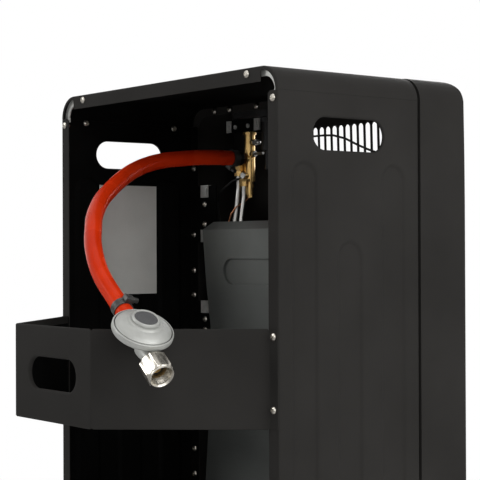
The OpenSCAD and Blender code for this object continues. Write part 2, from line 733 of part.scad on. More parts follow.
// two spring clips pushed over the ends of the bracket's wall
module wall_clips() {
    h = bracket_top - bracket_z - 1;
    for (x = [bracket_low_x, bracket_high_x]) {
        inner = x == bracket_low_x ? x - 1 : x - 9;
        translate([inner, wall_y + sheet_t, bracket_z + 0.5]) cube([10, 0.8, h]);
        translate([x == bracket_low_x ? x - 1 : x + 0.2, wall_y - 1, bracket_z + 0.5])
            cube([0.8, 2 + sheet_t - 0.2, h]);
        translate([inner + 3.5, wall_y + sheet_t + 0.8 - eps, bracket_z + 4])
            cube([3, 1.4, h - 7]);
    }
}

// small machine screws: two through the recess floor, two through the bracket's wall
module machine_screw(l) {
    translate([0, 0, -l]) cylinder(r = 1.5, h = l + eps);
    difference() {
        cylinder(r = 2.8, h = 1.8);
        translate([-3, -0.4, 1.1]) cube([6, 0.8, 1]);
    }
}
module control_screws() {
    color(steel) {
        for (x = tab_xs) translate([x, tab_y, recess_z]) machine_screw(5);
        for (s = [-1, 1]) translate([valve_x + s * wall_screw_dx, wall_y + sheet_t, wall_screw_z])
            rotate([-90, 0, 0]) machine_screw(4);
    }
}

// the brass valve: a neck through the bracket, a collar, an upright barrel with its ports
barrel_r = 7;
neck_r = 6.8;
neck_top = bracket_z + sheet_t + 5;
port_z = top_z - 71.5;
magnet_z = top_z - 65.5;
bypass_z = top_z - 51;
test_z = top_z - 93.5;
test_turn = 12;
test_reach = 12;
barrel_low = top_z - 101;
waist_low = top_z - 117;
side_reach = 9;
plug_r = 5.2;
plug_z = port_z + 9;
plug_h = neck_top - plug_z - 2;
plug_play = 0.3;
tube_dx = [-2, 9];                              // pilot and burner tube, from the valve axis
tube_y = control_y + 11;
module gas_valve() {
    color(brass) translate([valve_x, control_y, 0]) difference() {
        union() {
            translate([0, 0, barrel_low]) cylinder(r = neck_r, h = neck_top - barrel_low);
            translate([0, 0, barrel_low]) cylinder(r = barrel_r, h = bracket_z - 3 - barrel_low);
            translate([0, 0, bracket_z - 3]) cylinder(r = barrel_r + 1.5, h = 3);
            translate([0, 0, waist_low]) cylinder(r = 5, h = barrel_low - waist_low + eps);
            translate([0, 0, waist_low + 9]) cylinder(r = 6, h = 4);
            translate([0, 0, port_z]) rotate([-90, 0, 0]) cylinder(r = 6, h = barrel_r + 2);
            translate([0, 0, test_z]) rotate([-90, 0, test_turn])
                cylinder(r = 3.9, h = test_reach);
            for (z = [magnet_z, bypass_z]) translate([0, 0, z]) rotate([0, -90, 0])
                cylinder(r = 4.5, h = side_reach);
            translate([tube_dx[1] - 4.5, 3, port_z - 16]) cube([9, 11.2, 10]);
            translate([tube_dx[0] - 4, 3, barrel_low]) cube([8, 12, 3.6]);
        }
        translate([0, 0, plug_z]) cylinder(r = plug_r + run_gap, h = neck_top - plug_z + cut);
        translate([0, 0, port_z]) rotate([-90, 0, 0]) cylinder(r = 3, h = 12);
        translate([0, 0, test_z]) rotate([-90, 0, test_turn]) cylinder(r = 2, h = test_reach + cut);
        for (z = [magnet_z, bypass_z]) translate([0, 0, z]) rotate([0, -90, 0])
            translate([0, 0, 3]) cylinder(r = 2, h = side_reach);
        translate([tube_dx[1], tube_y - control_y, port_z - 17]) cylinder(r = 2, h = 5);
        translate([tube_dx[0], tube_y - control_y, barrel_low - cut]) cylinder(r = 1.5, h = 3);
    }
}

// the rotating plug: it turns with the spindle, which slides in its square socket
key_w = 5;
module valve_plug() {
    color(brass) translate([valve_x, control_y, plug_z + plug_play]) difference() {
        cylinder(r = plug_r, h = plug_h);
        translate([-key_w / 2 - 0.1, -key_w / 2 - 0.1, 2.5])
            cube([key_w + 0.2, key_w + 0.2, plug_h]);
    }
}

// the spindle: a square key in the plug and a round shaft into the knob
module valve_spindle() {
    low = plug_z + plug_play + 3 + press_travel;
    shaft_z = neck_top + press_travel + 1;
    color([0.7, 0.7, 0.7]) translate([valve_x, control_y, 0]) {
        translate([-key_w / 2, -key_w / 2, low]) cube([key_w, key_w, shaft_z - low + eps]);
        translate([0, 0, shaft_z]) cylinder(d = spindle_d, h = knob_z + socket_h - shaft_z);
    }
}

// the barbed nipple that the hose is pushed on
nipple_y = control_y + barrel_r + 2;
hose_start = nipple_y + 6;
module hose_nipple() {
    color([0.42, 0.26, 0.12]) translate([valve_x, nipple_y, port_z]) rotate([-90, 0, 0]) {
        cylinder(d = 15, h = hose_start - nipple_y, $fn = 6);
        rotate_extrude() for (k = [0:2]) translate([0, hose_start - nipple_y + 5.5 * k])
            polygon([[0, -eps], [5, -eps], [4, 5.5], [0, 5.5]]);
    }
}

// the slotted screw of the test port, the bypass screw with its ball end, and the steel
// pin of the magnet that holds the valve open
module port_screws() {
    color(brass) translate([valve_x, control_y, test_z]) rotate([-90, 0, test_turn])
        translate([0, 0, test_reach]) difference() {
            union() {
                cylinder(r = 3.6, h = 2.5);
                translate([0, 0, -5]) cylinder(r = 1.9, h = 5 + eps);
            }
            translate([-4, -0.4, 1.7]) cube([8, 0.8, 1]);
        }
    color(steel) translate([valve_x - side_reach, control_y, bypass_z])
        rotate([0, -90, 0]) {
            translate([0, 0, -3]) cylinder(r = 1.9, h = 4);
            cylinder(d = 8, h = 4, $fn = 6);
            translate([0, 0, 4 - eps]) cylinder(r = 2.5, h = 3);
            translate([0, 0, 9]) sphere(r = 3.4);
        }
    color(steel) translate([valve_x - side_reach, control_y, magnet_z])
        rotate([0, -90, 0]) {
            translate([0, 0, -3]) cylinder(r = 1.9, h = 4);
            cylinder(d = 8, h = 3, $fn = 6);
            translate([0, 0, 3 - eps]) cylinder(r = 1.8, h = 16);
        }
}

// brass nuts: one above the bracket's floor on the valve's neck, and those of the two tubes
// and the lead, at the valve and at the burner
burner_tube_top = [valve_x + tube_dx[1], tube_y, port_z - 16];
pilot_tube_top = [valve_x + tube_dx[0], tube_y, barrel_low];
nut_h = 6;
tube_r = 3;
pilot_r = 2.6;
lead_r = 1;
module tube_nut(af, r) {
    difference() {
        cylinder(d = af / cos(30), h = nut_h, $fn = 6);
        translate([0, 0, -cut]) cylinder(r = r + run_gap, h = nut_h + 2 * cut);
    }
}
module brass_nuts() {
    color(brass) {
        translate([valve_x, control_y, bracket_z + sheet_t]) difference() {
            cylinder(d = 2.5 * neck_r, h = 3, $fn = 6);
            translate([0, 0, -cut]) cylinder(r = neck_r + run_gap, h = 3 + 2 * cut);
        }
        translate(burner_tube_top - [0, 0, nut_h]) tube_nut(9, tube_r);
        translate(pilot_tube_top - [0, 0, nut_h]) tube_nut(8, pilot_r);
        translate([valve_x, control_y, waist_low - 4]) difference() {
            cylinder(d = 8, h = 4, $fn = 6);
            translate([0, 0, -cut]) cylinder(r = lead_r + 0.3, h = 6);
        }
        translate([manifold_x, manifold_y, manifold_z + manifold_s / 2]) tube_nut(11, tube_r);
    }
}

// the igniter: a threaded case held by a ring nut, a button, and a terminal below
igniter_low = recess_z - 42;
igniter_lip = 2;
module igniter_body() {
    color([0.12, 0.12, 0.12]) translate(igniter_at) difference() {
        union() {
            translate([0, 0, recess_z]) cylinder(r = igniter_r + 2, h = igniter_lip);
            translate([0, 0, igniter_low]) cylinder(r = igniter_r, h = recess_z - igniter_low + eps);
            translate([-1.5, -3, igniter_low - 6]) cube([3, 6, 6 + eps]);
        }
        translate([0, 0, recess_z - 16]) cylinder(d = button_d + 2 * run_gap, h = 20);
    }
}
module igniter_nut() {
    color([0.2, 0.2, 0.2]) translate(igniter_at + [0, 0, recess_z - sheet_t - 5])
        difference() {
            cylinder(r = igniter_r + 2.4, h = 5, $fn = 8);
            translate([0, 0, -cut]) cylinder(r = igniter_r + run_gap, h = 5 + 2 * cut);
        }
}
module igniter_button() {
    color([0.6, 0.08, 0.06]) translate(igniter_at + [0, 0, recess_z - 15.5 + button_travel])
        rotate_extrude() polygon([[0, 0], [button_d / 2, 0], [button_d / 2, 18],
            [button_d / 2 - 1, 19.2], [2, 20], [0, 20]]);
}

// ---------- burner ----------

house_w = 3 * plaque_pitch + 2 * house_side;
house_top = top_z - house_down;
house_low = house_top - house_h;
house_back = panel_y + 24;                      // rear face at the top
house_front = shell_y - 34;                     // front edges of the housing's sides
bevel_h = 10;                                   // the top bevel's height on the rear wall

// the housing's side profile, from its front foot round the back to its front top
house_line = [[house_front, house_low], [house_back - 12, house_low],
    [house_back - 3, house_low + 12], [house_back - 12.5, house_low + house_h * 0.42],
    [house_back - 12.5, house_low + house_h * 0.62], [house_back - 6, house_top - 80],
    [house_back, house_top - bevel_h], [house_back - 8, house_top], [house_front, house_top]];
pan_l = 234;                                    // the pressed recess in the rear wall
pan_h = 35;
pan_deep = 3.5;
pan_drop = 63;                                  // its middle below the housing's top
wall_fall = 6 / 70;                             // the rear wall's slope above the middle
hip = 13;                                       // the cut of the two top corners
module burner_housing() {
    pan_at = [0, house_back - (pan_drop - bevel_h) * wall_fall, house_top - pan_drop];
    color(galv) difference() {
        intersection() {
            translate([-house_w / 2, 0, 0]) sideways(house_w) polygon(house_line);
            hip_form(house_w / 2, house_top);
        }
        difference() {
            intersection() {
                translate([-house_w / 2, 0, 0]) sideways(house_w)
                    polygon(concat([[house_front - cut, house_low + house_t]],
                        [for (i = [1:7]) shifted(house_line, house_t)[i]],
                        [[house_front - cut, house_top - house_t]]));
                hip_form(house_w / 2 - house_t, house_top - house_t);
            }
            translate(pan_at) rotate([-atan(wall_fall), 0, 0])
                translate([0, -pan_deep - house_t, 0]) upright(pan_deep + 8)
                    slot2d(pan_l, pan_h);
        }
        translate(pan_at) rotate([-atan(wall_fall), 0, 0])
            translate([0, -pan_deep, 0]) upright(pan_deep + 8)
                slot2d(pan_l - 2 * house_t, pan_h - 2 * house_t);
        translate([valve_x - 10, house_front - cut, house_top - house_t - cut])
            cube([39, tube_y + 15 - house_front + cut, house_t + 2 * cut]);
    }
}
module hip_form(w, top) {
    translate([0, house_front - 2 * cut, 0]) upright(house_back - house_front + 4 * cut)
        polygon([[-w, house_low - cut], [w, house_low - cut], [w, top - bevel_h],
            [w - hip, top], [-w + hip, top], [-w, top - bevel_h]]);
}

// four brackets that carry the housing on the side panels' front flanges; each holds two
// spring clips over its ends and two pan-head screws between them
carrier_x = (house_w / 2 + half_w - flange_w) / 2 + 4;      // screws and clips
carrier_t = 1.2;
carrier_zs = [house_top - 24.5, house_top - 162.5];         // lower ends
carrier_hs = [72, 60];
carrier_screws = [[22.5, 48], [23, 37]];        // screws above the lower end
carrier_side_h = [22, 56];                      // height of the flange on the housing
clip_h = 15;
clip_w = 16;
clip_t = 1;
module housing_brackets() {
    side_x = house_w / 2;
    color([0.1, 0.1, 0.1]) for (s = [0, 1], k = [0, 1]) mirror([s, 0, 0])
        difference() {
            union() {
                translate([side_x, panel_y + sheet_t, carrier_zs[k]])
                    cube([half_w - flange_w + 4 - side_x, carrier_t, carrier_hs[k]]);
                translate([side_x, panel_y + sheet_t - 24, carrier_zs[k]])
                    cube([carrier_t, 24 + eps, carrier_side_h[k]]);
            }
            for (z = carrier_screws[k])
                translate([carrier_x, panel_y + sheet_t, carrier_zs[k] + z])
                    rotate([90, 0, 0]) screw_hole(carrier_t);
        }
}
module carrier_clips() {
    clip_x = carrier_x - clip_w / 2;
    clip_y = panel_y + sheet_t + carrier_t;
    for (s = [0, 1], k = [0, 1], top = [0, 1])
        mirror([s, 0, 0]) {
            low = carrier_zs[k] + top * (carrier_hs[k] - clip_h);
            end_z = top ? low + clip_h : low - clip_t;
            translate([clip_x, clip_y, low - (top ? 0 : clip_t)])
                cube([clip_w, clip_t, clip_h + clip_t]);
            translate([clip_x, clip_y - carrier_t - 3, end_z])
                cube([clip_w, carrier_t + 3 + eps, clip_t]);
            translate([clip_x + 1, clip_y + clip_t - eps, low + 2])
                cube([5, 1.5, clip_h - 4]);
        }
}
module spring_clips() {
    color([0.8, 0.8, 0.76]) {
        wall_clips();
        carrier_clips();
    }
}
module carrier_pan_screws() {
    for (s = [0, 1], k = [0, 1], z = carrier_screws[k]) mirror([s, 0, 0])
        translate([carrier_x, panel_y + sheet_t + carrier_t, carrier_zs[k] + z])
            rotate([-90, 0, 0]) pan_screw(4);
}

// the reflector: a bright tray round the plaques, its rim behind the opening's fold
tray_front = front_y + sheet_t + open_rim + seat_gap;
tray_back = tray_front + 26;
tray_w = open_w - 6;
tray_h = open_h - 6;
plaque_z = open_z + 12;
window_w = 2 * plaque_pitch + plaque_w - 6;
window_h = plaque_h - 6;
module reflector() {
    color([0.78, 0.78, 0.76]) difference() {
        union() {
            translate([0, tray_front, open_z]) upright(house_t)
                round_rect(tray_w + 22, tray_h + 22, 10);
            translate([0, tray_front, open_z]) upright(tray_back - tray_front)
                round_rect(tray_w, tray_h, open_r);
        }
        translate([0, tray_front - cut, open_z]) upright(tray_back - tray_front - house_t + cut)
            round_rect(tray_w - 2 * house_t, tray_h - 2 * house_t, open_r - house_t);
        translate([-window_w / 2, tray_front, plaque_z - window_h / 2])
            cube([window_w, 2 * (tray_back - tray_front), window_h]);
        translate([pilot_x - pilot_w / 2 + 2, tray_front + 4, open_z - tray_h / 2 - cut])
            cube([pilot_w - 4, tray_back - tray_front, pilot_z - 2 - open_z + tray_h / 2 + cut]);
    }
}

// three pressed burner boxes with a mixing tube below each
box_d = 24;
box_w = plaque_pitch - seat_gap;
box_h = plaque_h + 12;
mix_r = 9;
mix_low = house_low + 46;
module burner_bodies() {
    color(galv) for (k = [-1, 0, 1]) translate([k * plaque_pitch, tray_back, plaque_z])
        difference() {
            union() {
                translate([-box_w / 2, 0, -box_h / 2]) cube([box_w, box_d, box_h]);
                translate([0, box_d / 2, mix_low - plaque_z])
                    cylinder(r = mix_r, h = plaque_z - mix_low - box_h / 2 + eps);
                translate([0, box_d / 2, mix_low - plaque_z]) cylinder(r = mix_r + 2, h = 6);
            }
            translate([-plaque_w / 2, -cut, -plaque_h / 2])
                cube([plaque_w, plaque_t + cut, plaque_h]);
            translate([-plaque_w / 2 + 4, -cut, -plaque_h / 2 + 4])
                cube([plaque_w - 8, box_d, plaque_h - 8]);
            translate([0, box_d / 2, mix_low - plaque_z - cut])
                cylinder(r = mix_r - 1.2, h = plaque_z - mix_low - box_h / 2 + 12);
        }
}

// the ceramic plaques
module ceramic_plaques() {
    color([0.85, 0.8, 0.7]) for (k = [-1, 0, 1])
        translate([k * plaque_pitch, tray_back, plaque_z])
            translate([-plaque_w / 2, 0, -plaque_h / 2]) cube([plaque_w, plaque_t, plaque_h]);
}

// the gas manifold: a square bar across the mixing tubes, on two feet
manifold_s = 14;
manifold_y = tray_back + box_d / 2;
manifold_z = mix_low - 20;
manifold_x = valve_x + tube_dx[1];
module gas_manifold() {
    color([0.6, 0.6, 0.58]) difference() {
        translate([-house_w / 2 + house_t, manifold_y - manifold_s / 2,
            manifold_z - manifold_s / 2])
            cube([house_w - 2 * house_t, manifold_s, manifold_s]);
        translate([-house_w / 2 + 8, manifold_y, manifold_z]) rotate([0, 90, 0])
            cylinder(r = 4, h = house_w - 16);
        for (k = [-1, 0, 1]) translate([k * plaque_pitch, manifold_y, manifold_z])
            cylinder(r = 2.5, h = manifold_s);
    }
}

// a brass injector under each mixing tube
module injectors() {
    color(brass) for (k = [-1, 0, 1]) translate([k * plaque_pitch, manifold_y,
        manifold_z + manifold_s / 2]) difference() {
            union() {
                cylinder(d = 11, h = 5, $fn = 6);
                translate([0, 0, 5 - eps]) cylinder(r = 3.5, h = 4);
                translate([0, 0, -4]) cylinder(r = 2.5 - run_gap, h = 4 + eps);
            }
            translate([0, 0, -5]) cylinder(r = 0.8, h = 15);
        }
}

// the pilot set below the plaques: a bent plate with a burner, a thermocouple, an electrode
pilot_x = 40;
pilot_w = 40;                                   // width of the plate
pilot_z = open_z - open_h / 2 + 34;
pilot_y = tray_back - 14;
module pilot_bracket() {
    color(galv) difference() {
        union() {
            translate([pilot_x - pilot_w / 2, tray_back - house_t - 1.2, pilot_z])
                cube([pilot_w, 1.2, 14]);
            translate([pilot_x - pilot_w / 2, pilot_y - 8, pilot_z])
                cube([pilot_w, tray_back - house_t - pilot_y + 8, 1.2]);
        }
        for (x = [-12, 0, 12]) translate([pilot_x + x, pilot_y, pilot_z - cut])
            cylinder(r = 3, h = 4);
    }
}
module pilot_burner() {
    color(brass) translate([pilot_x, pilot_y, pilot_z]) difference() {
        union() {
            translate([0, 0, -10]) cylinder(r = 3 - run_gap, h = 24);
            translate([0, 0, -8]) cylinder(d = 9, h = 8, $fn = 6);
            translate([0, 0, 12]) cylinder(r = 4, h = 6);
        }
        translate([-5, -1, 15]) cube([10, 2, 4]);
    }
}
module thermocouple() {
    color([0.7, 0.5, 0.35]) translate([pilot_x + 12, pilot_y, pilot_z]) {
        translate([0, 0, -14]) cylinder(r = 3 - run_gap, h = 24);
        translate([0, 0, 10 - eps]) cylinder(r = 2, h = 16);
        translate([0, 0, -6]) cylinder(r = 4, h = 6);
    }
}
module electrode() {
    color([0.9, 0.9, 0.86]) translate([pilot_x - 12, pilot_y, pilot_z]) {
        translate([0, 0, -18]) cylinder(r = 3 - run_gap, h = 32);
        translate([0, 0, -6]) cylinder(r = 4, h = 6);
        translate([0, 0, 14 - eps]) cylinder(r = 0.9, h = 10);
        translate([0, 0, 23]) rotate([0, 60, 0]) cylinder(r = 0.9, h = 8);
    }
}

// the tubes and leads: hung points are measured from the valve's axis and the top, low ones
// from the middle of the manifold
function hung(pts) = [for (p = pts) p + [0, control_y, top_z]];
function low(pts) = [for (p = pts) p + [0, manifold_y, manifold_z]];
pilot_at = [pilot_x, pilot_y, pilot_z];
burner_tube_route = concat([burner_tube_top],
    hung([[131, 11, -110], [131, 15, -140], [131, 20, -170], [131, 22, -210]]),
    low([[131, 20, 78], [131, 16, 48], [131, 7, 24]]),
    [for (up = [14, manifold_s / 2]) [manifold_x, manifold_y, manifold_z + up]]);
pilot_tube_route = concat([pilot_tube_top],
    hung([[120, 11, -120], [120, 15, -145], [119, 19, -175], [118, 21, -210]]),
    low([[117, 19, 148], [114, 19, 93], [104, 19, 66], [86, 18, 48], [68, 10, 32],
        [56, -4, 20], [47, -18, 14]]),
    [for (d = [[1, -48], [0, -36], [0, -10]]) pilot_at + [d[0], 0, d[1]]]);
ignition_route = concat([igniter_at + [0, 0, igniter_low - 6.3]],
    hung([[81, 1, -76], [66, 4, -75], [45, 8, -66], [20, 11, -57], [0, 12, -53],
        [-17, 12, -52], [-35, 12, -52], [-53, 12, -53], [-74, 12, -58], [-96, 12, -67],
        [-113, 12, -73], [-135, 11, -80], [-155, 9, -92], [-168, 7, -112], [-172, 6, -140],
        [-172, 6, -330]]),
    low([[-171, 2, 58], [-168, -4, 38], [-164, -16, 22], [-150, -20, 16], [-80, -22, 16],
        [-20, -24, 16]]),
    [for (d = [[-26, -48], [-14, -38], [-12, -26], [-12, -18]]) pilot_at + [d[0], 0, d[1]]]);
earth_route = hung([[125.5, 7.75, -97], [125.3, 11, -97], [127, 17, -98], [134, 19, -100],
    [150, 18, -107], [163, 17, -114], [170, 15, -125], [172, 12, -140], [171, 9, -165],
    [167, 8, -190], [161, 8, -205], [house_w / 2 + 1.3, 8, -210]]);
sensor_route = concat([for (down = [0, 4]) [valve_x, control_y, waist_low - down]],
    hung([[122.5, 2, -122], [124, 6, -126], [125.3, 11, -129], [128, 18, -134],
        [134, 21, -142], [138, 22, -154], [141, 23, -174], [147, 25, -210], [150, 27, -250]]),
    low([[150, 25, 108], [143, 26, 86], [128, 26, 70], [110, 25, 52], [92, 22, 33],
        [76, 14, 19], [66, 0, 13], [58, -16, 11]]),
    [for (d = [[13, -50], [12, -36], [12, -14]]) pilot_at + [d[0], 0, d[1]]]);
module burner_tube() {
    color(alu) swept(burner_tube_route, tube_r, 12);
}
module pilot_tube() {
    color(alu) swept(pilot_tube_route, pilot_r, 10);
}
module insulated_leads() {
    color("black") {
        swept(ignition_route, 1.3, 8);
        swept(earth_route, 1.3, 8);
    }
}
module thermocouple_lead() {
    color([0.55, 0.3, 0.18]) swept(sensor_route, lead_r, 8);
}

// ---------- hose and regulator ----------

reg_at = [-148.4, rear_y + 122.65, top_z - 265.8];
reg_turn = [0.4, 33.4, 173];
// the hose: straight back off its nipple, then in one bow, measured from the rear plane and
// the top, over the guard to the regulator
hose_route = concat([for (back = [0, 18, 35]) [valve_x, hose_start + back, port_z]],
    [for (p = [[123, -158, -72], [125, -140, -73], [126, -120, -75], [126, -101, -77],
        [123, -83, -80], [118, -66, -84], [110, -48, -89], [100, -28, -96], [88, -6, -106],
        [75, 16, -118], [60, 37, -130], [44, 54, -142], [28, 68, -153], [12, 79, -164],
        [-2, 88.5, -175], [-16, 96.5, -185], [-30, 103, -195.5], [-43.5, 108, -206],
        [-56, 110.8, -216.3], [-68.3, 112.8, -224.8], [-80.7, 114.3, -233],
        [-92.3, 115.75, -240.7], [-103.1, 117.1, -247.8], [-113.1, 118.3, -254.4]])
            p + [0, rear_y, top_z]]);

module gas_hose() {
    color([0.92, 0.27, 0.1]) swept(hose_route, hose_d / 2, 12);
}

// a worm clamp: a band with a screw housing beside it
band_w = 9;
module clamp_ring() {
    outer = hose_d / 2 + 1.25;
    difference() {
        union() {
            cylinder(r = outer, h = band_w, center = true);
            translate([outer - 0.6, -5.5, -band_w / 2]) cube([6, 11, band_w]);
        }
        cylinder(r = hose_d / 2 + 0.25, h = band_w + 4, center = true);
    }
    translate([outer + 2.6, 5, 0]) rotate([-90, 0, 0]) cylinder(d = 6, h = 6, $fn = 6);
}
module valve_clamp() {
    color(alu) translate([valve_x, hose_start + 11, port_z]) rotate([-90, 0, 0]) rotate(60)
        clamp_ring();
}

module in_regulator() {
    translate(reg_at) rotate(reg_turn) children();
}
// outlet above inlet, both square to the diaphragm's axis
out_z = -10;
in_z = -15;
hose_stop = 36;
module outlet_frame() {
    in_regulator() translate([0, 0, out_z]) rotate([0, -90, 0]) children();
}
module regulator_clamp() {
    color(alu) outlet_frame() translate([0, 0, hose_stop + 13]) rotate(20) clamp_ring();
}

// the cast lower body: a dish, an inlet neck and an outlet barrel with its barbs
module regulator_body() {
    r = reg_d / 2;
    color([0.62, 0.63, 0.6]) {
        in_regulator() difference() {
            union() {
                rotate_extrude() polygon([[0, -20], [8, -20], [11, -18], [14, -12], [r - 7, -6.5],
                    [r - 1, -4.5], [r, -3.5], [r, 0], [0, 0]]);
                translate([0, 0, in_z]) rotate([0, 90, 0]) {
                    cylinder(r = 7.5, h = nut_start + 3);
                    translate([0, 0, 10]) cylinder(r1 = 9.5, r2 = 7.5, h = nut_start - 13);
                }
            }
            translate([nut_start - 14, 0, in_z]) rotate([0, 90, 0]) cylinder(r = 4 + run_gap, h = 20);
        }
        outlet_frame() {
            translate([0, 0, 10]) cylinder(r = 7, h = hose_stop - 12);
            translate([0, 0, hose_stop - 4]) cylinder(r = 8, h = 4);
            translate([0, 0, hose_stop - eps]) cylinder(r = 4.5, h = 22);
        }
    }
}

// the pressed cover over the diaphragm and its screw cap with a plain face
cap_z = 10.8;
module regulator_cover() {
    r = reg_d / 2;
    color([0.72, 0.72, 0.69]) in_regulator() rotate_extrude()
        polygon([[0, 0], [r, 0], [r, 1], [r - 1.2, 2], [r - 2.4, 2], [r - 3, 3], [18, 9.2],
            [16.5, cap_z], [0, cap_z]]);
}
module regulator_cap() {
    color([0.66, 0.66, 0.64]) in_regulator() translate([0, 0, cap_z]) rotate_extrude()
        polygon([[0, 0], [14.6, 0], [14.6, 1.6], [14, 3], [13, 3.6], [12, 3.4], [11.6, 2.6],
            [0, 2.6]]);
}

// the union: a collared brass nozzle, a seal ring and a hexagon nut that spins on it
nut_start = 34;
module union_frame() {
    in_regulator() translate([nut_start, 0, in_z]) rotate([0, 90, 0]) children();
}
shank_r = 7.5;
wall_l = 5;                                     // thickness of the nut's rear wall
module regulator_nozzle() {
    color(brass) union_frame() difference() {
        union() {
            translate([0, 0, -12]) cylinder(r = 4, h = 12 + wall_l + 4);
            translate([0, 0, 3 + eps]) cylinder(r = shank_r - 0.6, h = wall_l - 3 + 0.3);
            translate([0, 0, wall_l + 0.3]) cylinder(r = nut_bore_r - 0.4, h = 3);
            translate([0, 0, wall_l + 3]) cylinder(r = 4.5, h = 3.2);
        }
        translate([0, 0, -13]) cylinder(r = 1.8, h = 40);
    }
}
module nozzle_seal() {
    color([0.08, 0.08, 0.08]) union_frame() translate([0, 0, wall_l + 3.3]) difference() {
        cylinder(r = 7.2, h = 2);
        translate([0, 0, -cut]) cylinder(r = 4.5 + run_gap, h = 2 + 2 * cut);
    }
}
module union_nut() {
    color([0.78, 0.76, 0.72]) union_frame() difference() {
        union() {
            intersection() {
                cylinder(d = nut_af / cos(30), h = nut_l - 2, $fn = 6);
                rotate_extrude() polygon([[0, 0], [nut_af / 2, 0], [nut_af / 2 + 2, 1.5],
                    [nut_af / 2 + 2, nut_l - 4], [nut_af / 2 - 0.3, nut_l - 2], [0, nut_l - 2]]);
            }
            cylinder(r = nut_af / 2 - 0.6, h = nut_l);
        }
        translate([0, 0, -cut]) cylinder(r = shank_r + run_gap, h = wall_l + 2 * cut);
        translate([0, 0, wall_l]) cylinder(r = nut_bore_r + 0.8, h = nut_l - 12 - wall_l);
        translate([0, 0, wall_l + 1]) cylinder(r = nut_bore_r, h = nut_l);
        translate([0, 0, nut_l - 3]) cylinder(r1 = nut_bore_r, r2 = nut_af / 2 - 1.2, h = 3 + eps);
    }
}

// ---------- castors ----------

castor_front_y = front_y + 40;
castor_rear_y = rear_y + base_reach - 30;
wheel_r = wheel_d / 2;
plate_t = 2;
fork_top = base_z - plate_t - 1;
axle_r = 3;
castor_x = half_w - castor_in;
castor_rear_x = base_rear_w / 2 - castor_rear_in;
castor_at = [[-castor_x, castor_front_y, 0], [castor_x, castor_front_y, 0],
    [-castor_rear_x, castor_rear_y, 0], [castor_rear_x, castor_rear_y, 0]];

module castor_plates() {
    color([0.65, 0.65, 0.63]) for (p = castor_at) translate(p) {
        translate([-plate_s / 2, -plate_s / 2, base_z - plate_t])
            cube([plate_s, plate_s, plate_t]);
        translate([0, 0, fork_top - 4]) cylinder(r = 4, h = 5 + eps);
        translate([0, 0, fork_top - 4]) cylinder(r = 6, h = 1.6);
    }
}

// the fork: a pressed head round the swivel rivet and two cheeks down to the axle
module castor_fork(p) {
    cheek = wheel_w / 2 + 0.8;
    color([0.6, 0.6, 0.58]) translate(p) difference() {
        union() {
            translate([0, 0, fork_top - 2]) cylinder(r = 13, h = 2);
            for (s = [-1, 1]) translate([s > 0 ? cheek : -cheek - 1.6, 0, 0])
                sideways(1.6) {
                    translate([castor_trail, wheel_r]) circle(r = 7);
                    polygon([[castor_trail - 7, wheel_r], [castor_trail + 7, wheel_r],
                        [10, fork_top - 2], [10, fork_top], [-10, fork_top],
                        [-10, fork_top - 10]]);
                }
            translate([-cheek - 1.6, -10, fork_top - 2]) cube([2 * cheek + 3.2, 20, 2]);
        }
        translate([0, 0, fork_top - 3]) cylinder(r = 4 + run_gap, h = 5);
        translate([-20, castor_trail, wheel_r]) rotate([0, 90, 0]) cylinder(r = axle_r, h = 40);
    }
}
module castor_wheel(p) {
    half = wheel_w / 2;
    side = [[axle_r + run_gap, half], [8, half], [8, half - 2], [wheel_r - 5, half - 2],
        [wheel_r - 4, half - 1], [wheel_r - 2, half - 1], [wheel_r, half - 3]];
    color([0.08, 0.08, 0.08]) translate(p + [0, castor_trail, wheel_r]) rotate([0, 90, 0])
        rotate_extrude() polygon(concat([for (q = side) [q[0], -q[1]]],
            [for (i = [6:-1:0]) side[i]]));
}
module castor_axle(p) {
    reach = wheel_w / 2 + 2.4;
    color([0.7, 0.7, 0.68]) translate(p + [0, castor_trail, wheel_r]) rotate([0, 90, 0]) {
        cylinder(r = axle_r, h = 2 * reach, center = true);
        for (s = [-1, 1]) translate([0, 0, s * (reach + 0.6)])
            cylinder(r = axle_r + 2, h = 1.2, center = true);
    }
}

side_panel_left();
side_panel_right();
top_cover();
corner_plates();
front_shell();
guard_grille();
base_tray();
bottle_guard();
sheet_screws();
control_panel();
control_knob();
valve_bracket();
control_screws();
gas_valve();
valve_plug();
valve_spindle();
hose_nipple();
port_screws();
brass_nuts();
burner_tube();
pilot_tube();
igniter_body();
igniter_nut();
igniter_button();
insulated_leads();
thermocouple_lead();
burner_housing();
housing_brackets();
spring_clips();
reflector();
burner_bodies();
ceramic_plaques();
gas_manifold();
injectors();
pilot_bracket();
pilot_burner();
thermocouple();
electrode();
gas_hose();
valve_clamp();
regulator_clamp();
regulator_body();
regulator_cover();
regulator_cap();
regulator_nozzle();
nozzle_seal();
union_nut();
castor_plates();
castor_fork(castor_at[0]);  // castor_fork_fl
castor_fork(castor_at[1]);  // castor_fork_fr
castor_fork(castor_at[2]);  // castor_fork_rl
castor_fork(castor_at[3]);  // castor_fork_rr
castor_wheel(castor_at[0]);  // castor_wheel_fl
castor_wheel(castor_at[1]);  // castor_wheel_fr
castor_wheel(castor_at[2]);  // castor_wheel_rl
castor_wheel(castor_at[3]);  // castor_wheel_rr
castor_axle(castor_at[0]);  // castor_axle_fl
castor_axle(castor_at[1]);  // castor_axle_fr
castor_axle(castor_at[2]);  // castor_axle_rl
castor_axle(castor_at[3]);  // castor_axle_rr
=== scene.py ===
"""Portable gas cabinet heater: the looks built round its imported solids.

The file follows the heater as it is put together, from the studio and the hose to the
cabinet's sheets, the burner, the controls and the castors. Lengths are in metres.
"""

import math

